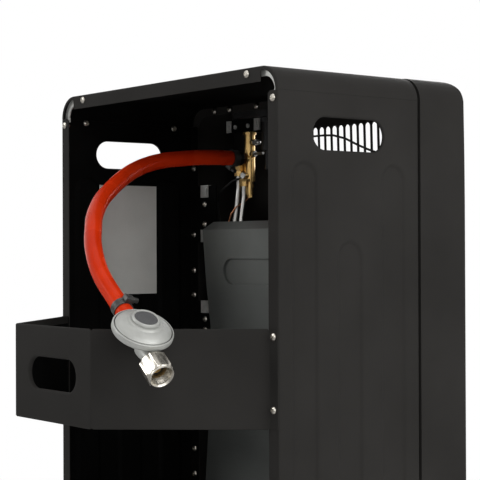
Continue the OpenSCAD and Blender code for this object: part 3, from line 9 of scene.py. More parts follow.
import bmesh
import bpy
import numpy as np
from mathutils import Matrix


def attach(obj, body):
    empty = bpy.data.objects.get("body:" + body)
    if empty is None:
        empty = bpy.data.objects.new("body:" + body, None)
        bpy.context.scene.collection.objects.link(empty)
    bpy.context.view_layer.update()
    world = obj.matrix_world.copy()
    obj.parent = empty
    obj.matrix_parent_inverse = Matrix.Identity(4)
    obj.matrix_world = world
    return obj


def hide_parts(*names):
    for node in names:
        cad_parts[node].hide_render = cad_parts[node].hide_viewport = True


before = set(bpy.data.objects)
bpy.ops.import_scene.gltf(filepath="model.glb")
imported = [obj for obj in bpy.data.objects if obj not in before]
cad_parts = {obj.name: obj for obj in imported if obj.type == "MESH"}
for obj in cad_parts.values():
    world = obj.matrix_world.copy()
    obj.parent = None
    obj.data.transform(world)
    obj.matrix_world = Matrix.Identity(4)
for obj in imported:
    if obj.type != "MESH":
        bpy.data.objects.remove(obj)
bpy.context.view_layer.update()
mm = 0.001


# ---- Studio -------------------------------------------------------------------------
# A camera behind the heater, at three quarters of its height, on a long lens; a pale floor
# that runs out into a white room, and five large soft lamps.

eye = np.array([-1.33095, 0.99016, 0.54292])
yaw, pitch, roll = np.radians([52.0718, 0.3561, -0.2137])
ahead = np.array([np.sin(yaw) * np.cos(pitch), -np.cos(yaw) * np.cos(pitch), np.sin(pitch)])
across = np.cross(ahead, [0, 0, 1])
across /= np.linalg.norm(across)
upward = np.cross(across, ahead)
camera = bpy.data.objects.new("camera", bpy.data.cameras.new("camera"))
camera.data.lens = 108.21
camera.data.sensor_width = 36
camera.data.clip_end = 60
bpy.context.scene.collection.objects.link(camera)
bpy.context.scene.camera = camera
placed = np.eye(4)
placed[:3, 0] = np.cos(roll) * across + np.sin(roll) * upward
placed[:3, 1] = -np.sin(roll) * across + np.cos(roll) * upward
placed[:3, 2] = -ahead
placed[:3, 3] = eye
camera.matrix_world = placed.T.tolist()
bpy.context.scene.view_settings.view_transform = "Standard"


class Wire:
    """An output of a node tree. Arithmetic on it adds Math nodes."""

    def __init__(self, nodes, socket):
        self.nodes = nodes
        self.socket = socket

    def maths(self, operation, *terms):
        """The result of a Math node on wires and numbers."""
        return self.nodes.add("ShaderNodeMath", {"operation": operation},
                              dict(enumerate(terms)))

    def __add__(self, other):
        return self.maths("ADD", self, other)

    def __sub__(self, other):
        return self.maths("SUBTRACT", self, other)

    def __mul__(self, other):
        return self.maths("MULTIPLY", self, other)

    def __truediv__(self, other):
        return self.maths("DIVIDE", self, other)

    __radd__ = __add__

    def kept(self):
        """The value, kept between 0 and 1."""
        return self.maths("MINIMUM", self.maths("MAXIMUM", self, 0.0), 1.0)

    def over(self, low, high):
        """0 below low, 1 above high, straight between."""
        return ((self - low) / (high - low)).kept()


class Nodes:
    """A node tree that is filled through one method."""

    def __init__(self, tree):
        self.tree = tree

    def add(self, kind, settings=None, sockets=None, out=0):
        """Adds a node, sets it up, then fills its sockets with values or wires."""
        made = self.tree.nodes.new(kind)
        for name, value in (settings or {}).items():
            setattr(made, name, value)
        for name, value in (sockets or {}).items():
            if isinstance(value, Wire):
                self.tree.links.new(value.socket, made.inputs[name])
            else:
                made.inputs[name].default_value = value
        return Wire(self, made.outputs[out])


world = bpy.data.worlds.new("room")
bpy.context.scene.world = world
world.use_nodes = True
room = Nodes(world.node_tree)
world.node_tree.nodes.clear()
seen = room.add("ShaderNodeLightPath", out="Is Camera Ray")
mirrored = room.add("ShaderNodeLightPath", out="Is Glossy Ray")
through = room.add("ShaderNodeLightPath", out="Is Transmission Ray")
room_white = room.add("ShaderNodeBackground", None, {"Color": (1, 1, 1, 1), "Strength": 1.0})
room_light = room.add("ShaderNodeBackground", None, {"Color": (1, 1, 1, 1), "Strength": 0.07})
room_seen = room.add("ShaderNodeMixShader", None,
                     {0: (seen + mirrored + through).kept(), 1: room_light, 2: room_white})
room_end = world.node_tree.nodes.new("ShaderNodeOutputWorld")
world.node_tree.links.new(room_seen.socket, room_end.inputs["Surface"])


def softbox(name, at, aim, width, height, watts):
    """A soft lamp of that size at one point, turned towards another."""
    lamp = bpy.data.lights.new(name, "AREA")
    lamp.shape = "RECTANGLE"
    lamp.size = width
    lamp.size_y = height
    lamp.energy = watts
    held = bpy.data.objects.new(name, lamp)
    bpy.context.scene.collection.objects.link(held)
    back = np.array(at, float) - np.array(aim, float)
    back /= np.linalg.norm(back)
    side = np.cross([0, 0, 1.0], back)
    side /= np.linalg.norm(side)
    stand = np.eye(4)
    stand[:3, 0] = side
    stand[:3, 1] = np.cross(back, side)
    stand[:3, 2] = back
    stand[:3, 3] = at
    held.matrix_world = stand.T.tolist()


softbox("key", (-2.4, -0.3, 1.3), (0, 0, 0.4), 1.1, 1.4, 27)
softbox("beside", (-2.2, 1.1, 1.3), (0, 0, 0.4), 1.1, 1.4, 14)
softbox("rear", (1.3, 2.2, 1.5), (0, 0.1, 0.5), 0.9, 0.9, 20)
softbox("top", (0.1, 0.3, 2.6), (0, 0, 0.5), 1.6, 1.6, 8)
softbox("front", (0.8, -2.4, 1.3), (0, 0, 0.4), 1.4, 1.4, 34)


class Finish(Nodes):
    """A surface finish: a material whose values that vary come from nodes."""

    def __init__(self, name, **constants):
        self.material = bpy.data.materials.new(name)
        self.material.use_nodes = True
        super().__init__(self.material.node_tree)
        self.shader = next(n for n in self.tree.nodes if n.type == "BSDF_PRINCIPLED")
        for socket, value in constants.items():
            self.shader.inputs[socket.replace("_", " ")].default_value = value
        self.place = self.add("ShaderNodeTexCoord", out="Object")

    def grain(self, scale, detail=2.0, stretch=(1, 1, 1)):
        """Noise about 0.5, with that many bumps to the metre, stretched along the axes."""
        there = self.add("ShaderNodeMapping", None, {"Vector": self.place, "Scale": stretch})
        return self.add("ShaderNodeTexNoise", None,
                        {"Vector": there, "Scale": scale, "Detail": detail})

    def along(self, axis):
        """The place along an axis of the frame, in metres."""
        return self.add("ShaderNodeSeparateXYZ", None, {"Vector": self.place}, out=axis)

    def blend(self, share, one, other):
        """Colour one where share is 0 and the other where it is 1."""
        return self.add("ShaderNodeMix", {"data_type": "RGBA"},
                        {0: share, 6: (*one, 1) if isinstance(one, tuple) else one,
                         7: (*other, 1) if isinstance(other, tuple) else other}, out=2)

    def mottle(self, noise, one, other):
        """Colour one where noise is under 0.3 and the other where it is over 0.7."""
        return self.blend(noise.over(0.3, 0.7), one, other)

    def wear(self, **varying):
        """Feeds the shader's sockets with what varies over the surface."""
        for socket, wire in varying.items():
            self.tree.links.new(wire.socket, self.shader.inputs[socket.replace("_", " ")])
        return self

    def relief(self, height, depth):
        """A bump of that depth in metres from a height between 0 and 1."""
        return self.wear(Normal=self.add("ShaderNodeBump", None,
                                         {"Height": height, "Distance": depth,
                                          "Strength": 1.0}))


def grid_faces(rows, columns, close_rows=False, close_columns=False, first=0):
    """The quads of a grid of points that are numbered row by row from first; a closed
    direction runs on from its last line to its first."""
    i, j = np.meshgrid(np.arange(rows if close_rows else rows - 1),
                       np.arange(columns if close_columns else columns - 1), indexing="ij")
    i, j = i.ravel(), j.ravel()
    up, on = (i + 1) % rows, (j + 1) % columns
    return first + np.stack([i * columns + j, i * columns + on, up * columns + on,
                             up * columns + j], -1)


def mesh_of(name, points, faces, finishes, body="cabinet", stands_for=(), sharp=35,
            slots=None):
    """Makes a piece from points and faces, smooth but for edges sharper than an angle."""
    mesh = bpy.data.meshes.new(name)
    mesh.from_pydata(np.asarray(points, float).tolist(), [],
                     [list(map(int, face)) for face in faces])
    for finish in finishes:
        mesh.materials.append(finish.material)
    if slots is not None:
        mesh.polygons.foreach_set("material_index", np.asarray(slots, np.int32))
    mesh.update()
    mesh.shade_smooth()
    mesh.set_sharp_from_angle(angle=math.radians(sharp))
    piece = bpy.data.objects.new(name, mesh)
    bpy.context.scene.collection.objects.link(piece)
    if body:
        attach(piece, body)
    if stands_for:
        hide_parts(*stands_for)
    return piece


floor_paint = Finish("floor_paint", Roughness=0.9)
floor_paint.wear(Base_Color=floor_paint.blend(floor_paint.grain(2.0), (0.90, 0.90, 0.90),
                                              (0.93, 0.93, 0.93)))
away = floor_paint.add("ShaderNodeVectorMath", {"operation": "LENGTH"},
                       {0: floor_paint.place}, out="Value")
floor_seen = floor_paint.add("ShaderNodeLightPath", out="Is Camera Ray")
floor_white = floor_paint.add("ShaderNodeEmission", None, {"Color": (1, 1, 1, 1)})
floor_shader = Wire(floor_paint, floor_paint.shader.outputs[0])
floor_mix = floor_paint.add("ShaderNodeMixShader", None,
                            {0: away.over(0.7, 1.5) * floor_seen, 1: floor_shader,
                             2: floor_white})
floor_end = next(n for n in floor_paint.tree.nodes if n.type == "OUTPUT_MATERIAL")
floor_paint.tree.links.new(floor_mix.socket, floor_end.inputs["Surface"])
floor_steps = np.linspace(-14, 14, 29)
floor_x, floor_y = np.meshgrid(floor_steps, floor_steps)
floor = mesh_of("floor", np.stack([floor_x, floor_y, 0 * floor_x], -1).reshape(-1, 3),
                grid_faces(len(floor_steps), len(floor_steps)), [floor_paint], body=None)


# ---- Gas hose -----------------------------------------------------------------------
# A stiff orange-red rubber hose, 19 mm across and about half a metre long. It is pushed on
# the valve's nipple, runs straight back, and drops in one bow to the regulator.

hose_route = np.array([
    [122, -143.15, 658.5], [122, -125.15, 658.5], [122, -108.15, 658.5],
    [123, -90.15, 658], [125, -72.15, 657], [126, -52.15, 655], [126, -33.15, 653],
    [123, -15.15, 650], [118, 1.85, 646], [110, 19.85, 641], [100, 39.85, 634],
    [88, 61.85, 624], [75, 83.85, 612], [60, 104.85, 600], [44, 121.85, 588],
    [28, 135.85, 577], [12, 146.85, 566], [-2, 156.35, 555], [-16, 164.35, 545],
    [-30, 170.85, 534.5], [-43.5, 175.85, 524], [-56, 178.65, 513.7], [-68.3, 180.65, 505.2],
    [-80.7, 182.15, 497], [-92.3, 183.6, 489.3], [-103.1, 184.95, 482.2],
    [-113.1, 186.15, 475.6]]) * mm
hose_r = 9.5 * mm


def eased(points, steps):
    """A smooth line through points: between each pair, the cubic whose end slopes are half
    the way from the point before to the point after."""
    near = np.vstack([2 * points[0] - points[1], points, 2 * points[-1] - points[-2]])
    t = (np.arange(steps) / steps)[None, :, None]
    a, b, c, d = (p[:, None, :] for p in (near[:-3], near[1:-2], near[2:-1], near[3:]))
    line = 0.5 * (2 * b + (c - a) * t + (2 * a - 5 * b + 4 * c - d) * t ** 2
                  + (3 * b - a - 3 * c + d) * t ** 3)
    return np.vstack([line.reshape(-1, 3), points[-1]])


def rings(line, radii, sides, lie):
    """Circles of points square to a line: centre + r (cos a * side + sin a * other), where
    side is the line's slope crossed with a fixed direction."""
    slope = np.gradient(line, axis=0)
    slope /= np.linalg.norm(slope, axis=1)[:, None]
    side = np.cross(slope, lie)
    side /= np.linalg.norm(side, axis=1)[:, None]
    other = np.cross(slope, side)
    angle = np.linspace(0, 2 * np.pi, sides, endpoint=False)
    return line[:, None, :] + radii[:, None, None] * (
        np.cos(angle)[:, None] * side[:, None, :] + np.sin(angle)[:, None] * other[:, None, :])


def tube(name, line, radius, sides, finish, lie=(0.0, 0.0, 1.0), soft=1.0 * mm, **where):
    """A closed round tube: rings along the line, and ends whose edge is a quarter circle, so
    that a ring lies soft (1 - cos a) from the end and is soft (1 - sin a) narrower."""
    bend = np.linspace(0, np.pi / 2, 4)
    first, last = line[1] - line[0], line[-1] - line[-2]
    first, last = first / np.linalg.norm(first), last / np.linalg.norm(last)
    back = soft * (1 - np.cos(bend))
    rising = radius - soft + soft * np.sin(bend)
    whole = np.vstack([line[0] + np.outer(back, first), line[1:-1],
                       line[-1] - np.outer(back[::-1], last)])
    radii = np.concatenate([rising, np.full(len(line) - 2, radius), rising[::-1]])
    points = rings(whole, radii, sides, lie).reshape(-1, 3)
    faces = [*grid_faces(len(whole), sides, close_columns=True).tolist(),
             list(range(sides - 1, -1, -1)),
             list(range((len(whole) - 1) * sides, len(whole) * sides))]
    return mesh_of(name, points, faces, [finish], **where)


hose_rubber = Finish("hose_rubber", Specular_IOR_Level=0.06)
hose_skin = hose_rubber.grain(900, 3)
hose_blush = hose_rubber.grain(25, 2)
hose_dyed = hose_rubber.blend(hose_blush.over(0.35, 0.65), (0.73, 0.034, 0.004),
                              (0.83, 0.045, 0.006))
# Painted shade: the hose's end at the valve, which lies in the valve's shadow, is coloured
# near-black.
hose_end_shade = (0.012, 0.010, 0.010)
hose_rubber.wear(
    Base_Color=hose_rubber.blend(hose_rubber.along(1).over(-0.128, -0.126), hose_end_shade,
                                 hose_dyed),
    Roughness=0.22 + hose_blush * 0.10)
hose_rubber.relief(hose_skin, 0.05 * mm)
hose_line = eased(hose_route, 8)
gas_hose = tube("gas_hose_skin", hose_line, hose_r, 40, hose_rubber, soft=0.6 * mm,
                stands_for=["gas_hose"])


# ---- Regulator ----------------------------------------------------------------------
# A cast zinc low-pressure regulator in silver lacquer: a dish with an inlet neck and a
# barbed outlet, a pressed cover with a black rubber ring in its groove, and a screw cap with a
# plain grey face. The ring stands for the diaphragm's edge and also paints the groove's shade.

reg_at = np.array([-148.4, 190.5, 464.2]) * mm


def turn(axis, degrees):
    """The matrix that turns about an axis of the frame."""
    c, s = np.cos(np.radians(degrees)), np.sin(np.radians(degrees))
    return {"x": np.array([[1, 0, 0], [0, c, -s], [0, s, c]]),
            "y": np.array([[c, 0, s], [0, 1, 0], [-s, 0, c]]),
            "z": np.array([[c, -s, 0], [s, c, 0], [0, 0, 1]])}[axis]


reg_turn = turn("z", 173) @ turn("y", 33.4) @ turn("x", 0.4)


def filleted(corners, radius, steps=5):
    """A line whose corners are cut back by a radius along both legs and bridged by arcs. An
    arc between a and b round a corner m is ((1-t)^2 a + 2 w t (1-t) m + t^2 b) / ((1-t)^2 +
    2 w t (1-t) + t^2), with w the sine of half the corner's angle. A leg between two corners
    gives each of them up to half its length, and an end leg gives all of it."""
    legs = np.linalg.norm(np.diff(corners, axis=0), axis=1)
    room = 0.49 * legs
    room[[0, -1]] *= 2
    radii = np.minimum(np.broadcast_to(radius, len(corners) - 2).astype(float),
                       np.minimum(room[:-1], room[1:]))
    before = (corners[:-2] - corners[1:-1]) / legs[:-1, None]
    after = (corners[2:] - corners[1:-1]) / legs[1:, None]
    weight = np.sqrt((1 - (before * after).sum(1)) / 2)[:, None, None]
    t = np.linspace(0, 1, steps)[None, :, None]
    middle = corners[1:-1][:, None, :]
    a = middle + (before * radii[:, None])[:, None, :]
    b = middle + (after * radii[:, None])[:, None, :]
    pull = 2 * weight * t * (1 - t)
    bends = ((1 - t) ** 2 * a + pull * middle + t ** 2 * b) / ((1 - t) ** 2 + pull + t ** 2)
    return np.vstack([corners[:1], bends.reshape(-1, corners.shape[1]), corners[-1:]])


def welded(piece, reach=1e-6, sharp=35):
    """Joins a piece's points that lie within reach, drops what has no area, turns its faces
    outwards, and leaves it smooth but for edges sharper than an angle."""
    worked = bmesh.new()
    worked.from_mesh(piece.data)
    bmesh.ops.remove_doubles(worked, verts=worked.verts, dist=reach)
    bmesh.ops.dissolve_degenerate(worked, edges=worked.edges, dist=1e-7)
    bmesh.ops.recalc_face_normals(worked, faces=worked.faces)
    worked.to_mesh(piece.data)
    worked.free()
    piece.data.set_sharp_from_angle(angle=math.radians(sharp))
    return piece


def turned(name, profile, finish, sides, turned_to, at, spread=None, **where):
    """A turned piece: each point (r, z) of a profile goes round the z axis, then the piece
    is turned and placed. Points with r = 0 close it. A function given as spread changes the
    radii by their angle."""
    angle = np.linspace(0, 2 * np.pi, sides, endpoint=False)
    r = profile[:, :1] * np.ones(sides)
    if spread is not None:
        r = spread(r, angle)
    points = np.stack([r * np.cos(angle), r * np.sin(angle),
                       profile[:, 1:] * np.ones(sides)], -1).reshape(-1, 3)
    faces = grid_faces(len(profile), sides, close_columns=True)
    return welded(mesh_of(name, points @ turned_to.T + at, faces, [finish], **where))


def worn(name, tones, cloud, rough, spread, grain=None, deep=0.0, **constants):
    """A finish of two noises. The first, cloud, mottles it with two tones. The second, grain,
    or else the first again, raises the roughness by up to spread and makes bumps of the
    depth deep. A noise is given as the arguments of grain."""
    finish = Finish(name, **constants)
    first = finish.grain(*cloud)
    second = finish.grain(*grain) if grain else first
    finish.wear(Base_Color=finish.mottle(first, *tones), Roughness=rough + second * spread)
    return finish.relief(second, deep) if deep else finish


silver_lacquer = Finish("silver_lacquer", Coat_Roughness=0.3)
lacquer_flake = silver_lacquer.grain(2600, 2)
silver_lacquer.wear(
    Base_Color=silver_lacquer.mottle(silver_lacquer.grain(60, 3), (0.42, 0.425, 0.40),
                                     (0.50, 0.505, 0.48)),
    Roughness=0.36 + lacquer_flake * 0.16, Metallic=lacquer_flake.over(0.35, 0.65) * 0.45)
silver_lacquer.relief(lacquer_flake, 0.05 * mm)
cap_face = worn("cap_face", [(0.070, 0.070, 0.072), (0.105, 0.105, 0.108)], (1400, 3),
                rough=0.5, spread=0.2, deep=0.12 * mm)
lead_rubber = worn("lead_rubber", [(0.010, 0.010, 0.010), (0.016, 0.016, 0.016)], (1800, 2),
                   rough=0.45, spread=0.2, Specular_IOR_Level=0.4)

cover_line = filleted(np.array([
    [0, 0], [31.5, 0], [31.5, 1.5], [30.7, 2.4], [29.9, 2.4], [29.8, 0.9], [28.9, 0.9],
    [28.8, 2.5], [26.0, 5.2], [21.0, 8.0], [18.6, 9.0], [17.6, 10.0], [16.4, 10.8],
    [0, 10.8]]) * mm,
    np.array([0.4, 0.7, 0.4, 0.2, 0.1, 0.1, 0.3, 3.0, 3.0, 0.9, 0.7, 0.6]) * mm)
reg_cover = turned("regulator_cover_skin", cover_line, silver_lacquer, 96, reg_turn, reg_at,
                   stands_for=["regulator_cover"])
# A black rubber ring in the cover's groove: the diaphragm's edge, and painted shade that
# darkens the groove.
edge_and_shade_line = np.array([[28.95, 0.95], [29.75, 0.95], [29.75, 1.5], [28.95, 1.5],
                        [28.95, 0.95]]) * mm
turned("regulator_edge_and_shade_ring", edge_and_shade_line, lead_rubber, 96, reg_turn, reg_at)

cap_line = filleted(np.array([
    [11.7, 13.2], [12.0, 14.1], [13.0, 14.4], [13.9, 13.9], [14.6, 12.5], [14.6, 10.8],
    [0, 10.8]]) * mm, np.array([0.4, 0.4, 0.6, 0.6, 0.3]) * mm)
reg_cap = turned("regulator_cap_rim", cap_line, silver_lacquer, 96, reg_turn, reg_at,
                 stands_for=["regulator_cap"])
face_line = np.array([[11.8, 13.25], [11.4, 13.4], [9.0, 13.35], [8.7, 13.25], [8.4, 13.35],
                      [0, 13.4]]) * mm
reg_face = turned("regulator_cap_face", face_line, cap_face, 96, reg_turn, reg_at)

body_line = filleted(np.array([
    [0, -20], [8.4, -20], [11.5, -18], [14.5, -12], [18, -9.0], [25, -6.6], [30, -5.4],
    [31.5, -3.6], [31.5, 0], [0, 0]]) * mm,
    np.array([1.5, 2.0, 2.5, 2.5, 3.0, 1.6, 1.2, 0.3]) * mm)
reg_body = turned("regulator_body_skin", body_line, silver_lacquer, 96, reg_turn, reg_at,
                  stands_for=["regulator_body"])

in_at = reg_at + reg_turn @ (np.array([0, 0, -15]) * mm)
along_in = reg_turn @ turn("y", 90)
neck_line = filleted(np.array([[0, 4], [9.6, 10], [9.4, 16], [8.4, 21], [7.5, 26],
                               [7.5, 36.8], [5.6, 37], [0, 37]]) * mm,
                     np.array([1, 3, 4, 3, 1, 0.5]) * mm)
reg_neck = turned("regulator_neck", neck_line, silver_lacquer, 64, along_in, in_at)

out_at = reg_at + reg_turn @ (np.array([0, 0, -10]) * mm)
along_out = reg_turn @ turn("y", -90)
outlet_line = filleted(np.array([
    [0, 8], [7, 8], [7, 31], [8, 32], [8, 35.6], [4.5, 36], [4.5, 58], [0, 58]]) * mm,
    np.array([1, 1, 0.6, 0.6, 0.4, 0.4]) * mm)
reg_outlet = turned("regulator_outlet", outlet_line, silver_lacquer, 48, along_out, out_at)


# ---- Union nut ----------------------------------------------------------------------
# A nickel plated hexagon nut, 26.5 mm across flats, that spins on the regulator's brass
# nozzle. Its corners are chamfered at both ends, and a turned thread shows in its mouth.

nickel = worn("nickel", [(0.41, 0.385, 0.34), (0.52, 0.495, 0.44)], (80, 3), rough=0.20,
              spread=0.16, grain=(1800, 2), deep=0.03 * mm, Metallic=1.0)
brass = worn("brass", [(0.60, 0.38, 0.14), (0.74, 0.50, 0.20)], (60, 3), rough=0.22,
             spread=0.16, grain=(900, 2, (1, 1, 3)), deep=0.02 * mm, Metallic=1.0)

nut_at = in_at + along_in @ (np.array([0, 0, 34]) * mm)
nut_flat = 13.25 * mm
nut_round = 13.2 * mm


def hexagon(r, angle):
    """A radius beyond nut_round falls back to the hexagon: the distance of the flats / cos of
    the angle from the nearest flat's middle. Smaller radii stay round."""
    off = (angle + np.pi / 6) % (np.pi / 3) - np.pi / 6
    return np.where(r > nut_round, np.minimum(r, nut_flat / np.cos(off)), r)


thread_pitch = 1.5
thread_z = np.linspace(12.6, 21.0, 40)
thread_r = 9.75 + 0.45 * np.abs(((thread_z / thread_pitch) % 1) * 2 - 1)
nut_line = np.vstack([
    [[7.56, 0.2], [12.6, 0.0], [13.5, 0.35], [15.3, 1.7], [15.3, 19.6], [13.6, 21.5],
     [12.95, 22.0], [12.65, 22.2], [12.6, 23.4], [12.3, 23.95], [11.9, 23.95]],
    [[10.6, 22.4], [10.2, 21.4]],
    np.stack([thread_r, thread_z], 1)[::-1],
    [[10.0, 12.2], [10.0, 5.4], [7.56, 5.0], [7.56, 0.2]]]) * mm
union_nut = turned("union_nut_skin", nut_line, nickel, 144, along_in, nut_at,
                   spread=hexagon, body="union_nut_body", stands_for=["union_nut"])


def dress(finish, *nodes):
    """Gives CAD nodes a finish in place of their plain colour."""
    for node in nodes:
        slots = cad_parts[node].data.materials
        slots.clear()
        slots.append(finish.material)


dress(brass, "regulator_nozzle")
dress(lead_rubber, "nozzle_seal")


# ---- Hose clamps --------------------------------------------------------------------
# Worm-drive clamps of steel coloured near-black, as painted shade for the shadow that the
# valve's clamp lies in: a band with pressed slots, a screw housing on it, and a hexagon screw.
# One holds the hose on the valve, one on the regulator.

# Painted shade: the clamps' steel is coloured near-black for the valve clamp's shadow.
clamp_steel_shade = worn("clamp_steel_shade", [(0.045, 0.044, 0.042), (0.075, 0.073, 0.070)],
                  (700, 3, (1, 1, 6)), rough=0.34, spread=0.18, deep=0.02 * mm, Metallic=0.6)
band_w = 9 * mm
band_slots = 44
band_hug = 0.3 * mm
band_t = 0.95
slot_deep = 0.45
house_soft = 1.1 * mm


def boxed(size, soft):
    """The points and faces of a block with rounded edges. A cube's grid runs from -1 to 1 on
    each axis, with its lines in the outer halves. The inner halves span the block less its
    radius, and the outer ones give the way out: the tangent of their share of 45 degrees."""
    outer = (1 - np.cos(np.linspace(0, np.pi / 2, 4))) * 0.5
    lines = np.unique(np.concatenate([-1 + outer, 1 - outer]).round(6))
    n = len(lines)
    a, b = (g.ravel() for g in np.meshgrid(lines, lines, indexing="ij"))
    one = np.ones_like(a)
    cube = np.vstack([np.stack(p, -1) for p in ((a, b, one), (b, a, -one), (one, a, b),
                                                (-one, b, a), (b, one, a), (a, -one, b))])
    sign, far = np.sign(cube), np.abs(cube)
    core = sign * (size / 2 - soft) * np.where(far > 0.5, 1, far * 2)
    reach = np.tan(np.clip(far * 2 - 1, 0, 1) * sign * np.pi / 4)
    reach /= np.linalg.norm(reach, axis=1)[:, None]
    faces = np.vstack([grid_faces(n, n, first=k * n * n) for k in range(6)])
    return core + reach * soft, faces


def clamp(name, at, turned_to, node):
    """A slotted band round the hose, its screw housing and its screw."""
    outer = hose_r + band_hug + band_t * mm
    angle = np.linspace(0, 2 * np.pi, band_slots * 8, endpoint=False)
    z = np.linspace(-band_w / 2, band_w / 2, 9)
    slot = (np.abs(((angle * band_slots / (2 * np.pi)) % 1) - 0.5) < 0.26)[None, :]
    slot = slot & (np.abs(z) < 2.6 * mm)[:, None]
    sheets = [np.stack([r * np.cos(angle), r * np.sin(angle), z[:, None] + 0 * r], -1)
              for r in (hose_r + band_hug + (band_t - slot_deep * slot) * mm,
                        np.full(slot.shape, hose_r + 0.02 * mm))]
    band = np.concatenate([sheets[0], sheets[1][::-1]])
    house, house_faces = boxed(np.array([5.6, 10.6, 9]) * mm, house_soft)
    sixth = np.linspace(0, 2 * np.pi, 6, endpoint=False)
    head = np.array([[0, 5], [2.6, 5], [3.0, 5.4], [3.0, 10.4], [2.6, 11], [0, 11]]) * mm
    screw = np.stack([outer + 2.6 * mm + head[:, :1] * np.cos(sixth),
                      head[:, 1:] + 0 * sixth, head[:, :1] * np.sin(sixth)], -1)
    first, points, faces = 0, [], []
    for its_points, its_faces in (
            (band.reshape(-1, 3), grid_faces(len(band), len(angle), True, True)),
            (house + np.array([outer + 2.2 * mm, 0, 0]), house_faces),
            (screw.reshape(-1, 3), grid_faces(len(head), 6, close_columns=True))):
        points.append(its_points)
        faces.append(its_faces + first)
        first += len(its_points)
    return welded(mesh_of(name, np.vstack(points) @ turned_to.T + at, np.vstack(faces),
                          [clamp_steel_shade], stands_for=[node]), 2e-6, 30)


valve_clamp = clamp("valve_clamp_band", np.array([122, -132.15, 658.5]) * mm,
                    turn("x", -90) @ turn("z", 60), "valve_clamp")
reg_clamp = clamp("regulator_clamp_band", out_at + along_out @ (np.array([0, 0, 49]) * mm),
                  along_out @ turn("z", 20), "regulator_clamp")


# ---- Cabinet sheets -----------------------------------------------------------------
# Mild steel sheet, 1 mm thick, cut flat, pressed, folded and powder coated in fine satin
# black. The faces that end up inside get a much darker, matt copy of the coat: painted shade.

sheet_t = 1.0 * mm
rear_y = 67.85 * mm
panel_y = -130.15 * mm
seam_z = 703.7 * mm
top_z = 730 * mm
base_z = 60 * mm
half_w = 210 * mm

black_coat = Finish("black_coat", Specular_IOR_Level=0.03)
coat_peel = black_coat.grain(1500, 2)
coat_drag = black_coat.grain(260, 3, (1, 1, 0.05))
black_coat.wear(
    Base_Color=black_coat.mottle(black_coat.grain(9, 4), (0.0272, 0.0260, 0.0245),
                                 (0.0345, 0.0330, 0.0311)),
    Roughness=0.44 + coat_peel * 0.10 + coat_drag * 0.08)
black_coat.relief(coat_peel * 0.7 + coat_drag * 0.3, 0.05 * mm)
# Painted shade: the inner faces of the sheets, and the brackets inside, are coloured several
# times darker than the outer coat.
inside_coat_shade = worn("inside_coat_shade", [(0.0035, 0.0035, 0.0034), (0.006, 0.006, 0.0058)],
                    (12, 3), rough=0.6, spread=0.15, grain=(1200, 2), deep=0.05 * mm,
                    Specular_IOR_Level=0.02)


class Fold:
    """A line of straight runs with round bends, as a folded sheet is seen from its edge. A
    length along it gives the point there and the direction that its outer face looks in,
    which is on the walk's left where side is 1 and on its right where it is -1. With s steps
    to a bend, bend k from 0 fills the line's points 1 + k s to s + k s."""

    def __init__(self, corners, radius, steps=6, side=1):
        self.line = filleted(corners, radius, steps)
        run = np.linalg.norm(np.diff(self.line, axis=0), axis=1)
        self.length = np.concatenate([[0], np.cumsum(run)])
        slope = np.gradient(self.line, self.length, axis=0)
        self.out = side * np.stack([-slope[:, 1], slope[:, 0]], 1)
        self.out /= np.linalg.norm(self.out, axis=1)[:, None]

    def at(self, along):
        """The points at lengths along the line, and their outward directions."""
        point = np.stack([np.interp(along, self.length, self.line[:, k]) for k in (0, 1)], -1)
        out = np.stack([np.interp(along, self.length, self.out[:, k]) for k in (0, 1)], -1)
        return point, out / np.linalg.norm(out, axis=-1)[..., None]

    def lines(self, step, extra=()):
        """Lengths along the line: its own points, what is asked for, and even steps."""
        stops = np.unique(np.concatenate([self.length, extra]).round(7))
        parts = [np.linspace(a, b, max(1, int(np.ceil((b - a) / step))), endpoint=False)
                 for a, b in zip(stops[:-1], stops[1:])]
        return np.concatenate([*parts, stops[-1:]])


def blank(us, vs, holes=()):
    """A flat sheet as cells between the lines us and vs, with the way through the sheet at
    each point. Round each hole a block of cells is left out, and rings of cells run from the
    hole's lip to the block's edge. A hole is (middle, half core, radius, block, rows): its
    outline lies a radius from a core rectangle, and a row is an offset from the outline, a
    depth below the sheet, and how far the way through leans outwards there."""
    grid_u, grid_v = np.meshgrid(us, vs)
    points = np.stack([grid_u, grid_v, 0 * grid_u], -1).reshape(-1, 3)
    through = np.tile([0.0, 0.0, 1.0], (len(points), 1))
    faces = grid_faces(len(vs), len(us))
    kept = np.ones(len(faces), bool)
    middle = points[faces][:, :, :2].mean(1)
    extra, ways, more, first = [], [], [], len(points)
    for centre, core, radius, block, rows in holes:
        j0, j1 = (int(np.argmin(np.abs(us - b))) for b in block[:2])
        i0, i1 = (int(np.argmin(np.abs(vs - b))) for b in block[2:])
        kept &= ~((middle[:, 0] > us[j0]) & (middle[:, 0] < us[j1])
                  & (middle[:, 1] > vs[i0]) & (middle[:, 1] < vs[i1]))
        walk = np.concatenate([
            i0 * len(us) + np.arange(j0, j1), np.arange(i0, i1) * len(us) + j1,
            i1 * len(us) + np.arange(j1, j0, -1), np.arange(i1, i0, -1) * len(us) + j0])
        rim = points[walk, :2]
        inner = np.clip(rim, np.array(centre) - core, np.array(centre) + core)
        out = rim - inner
        out /= np.linalg.norm(out, axis=1)[:, None]
        one = np.ones((len(rim), 1))
        for far, deep, lean in rows:
            extra.append(np.hstack([inner + out * (radius + far), deep * one]))
            ways.append(np.hstack([out * np.sin(lean), np.cos(lean) * one]))
        n, count = len(walk), len(rows)
        number = np.vstack([first + np.arange(count * n).reshape(-1, n), walk])
        first += count * n
        more.append(number.ravel()[grid_faces(count + 1, n, close_columns=True)])
    return (np.vstack([points, *extra]), np.vstack([through, *ways]),
            np.vstack([faces[kept], *more]))


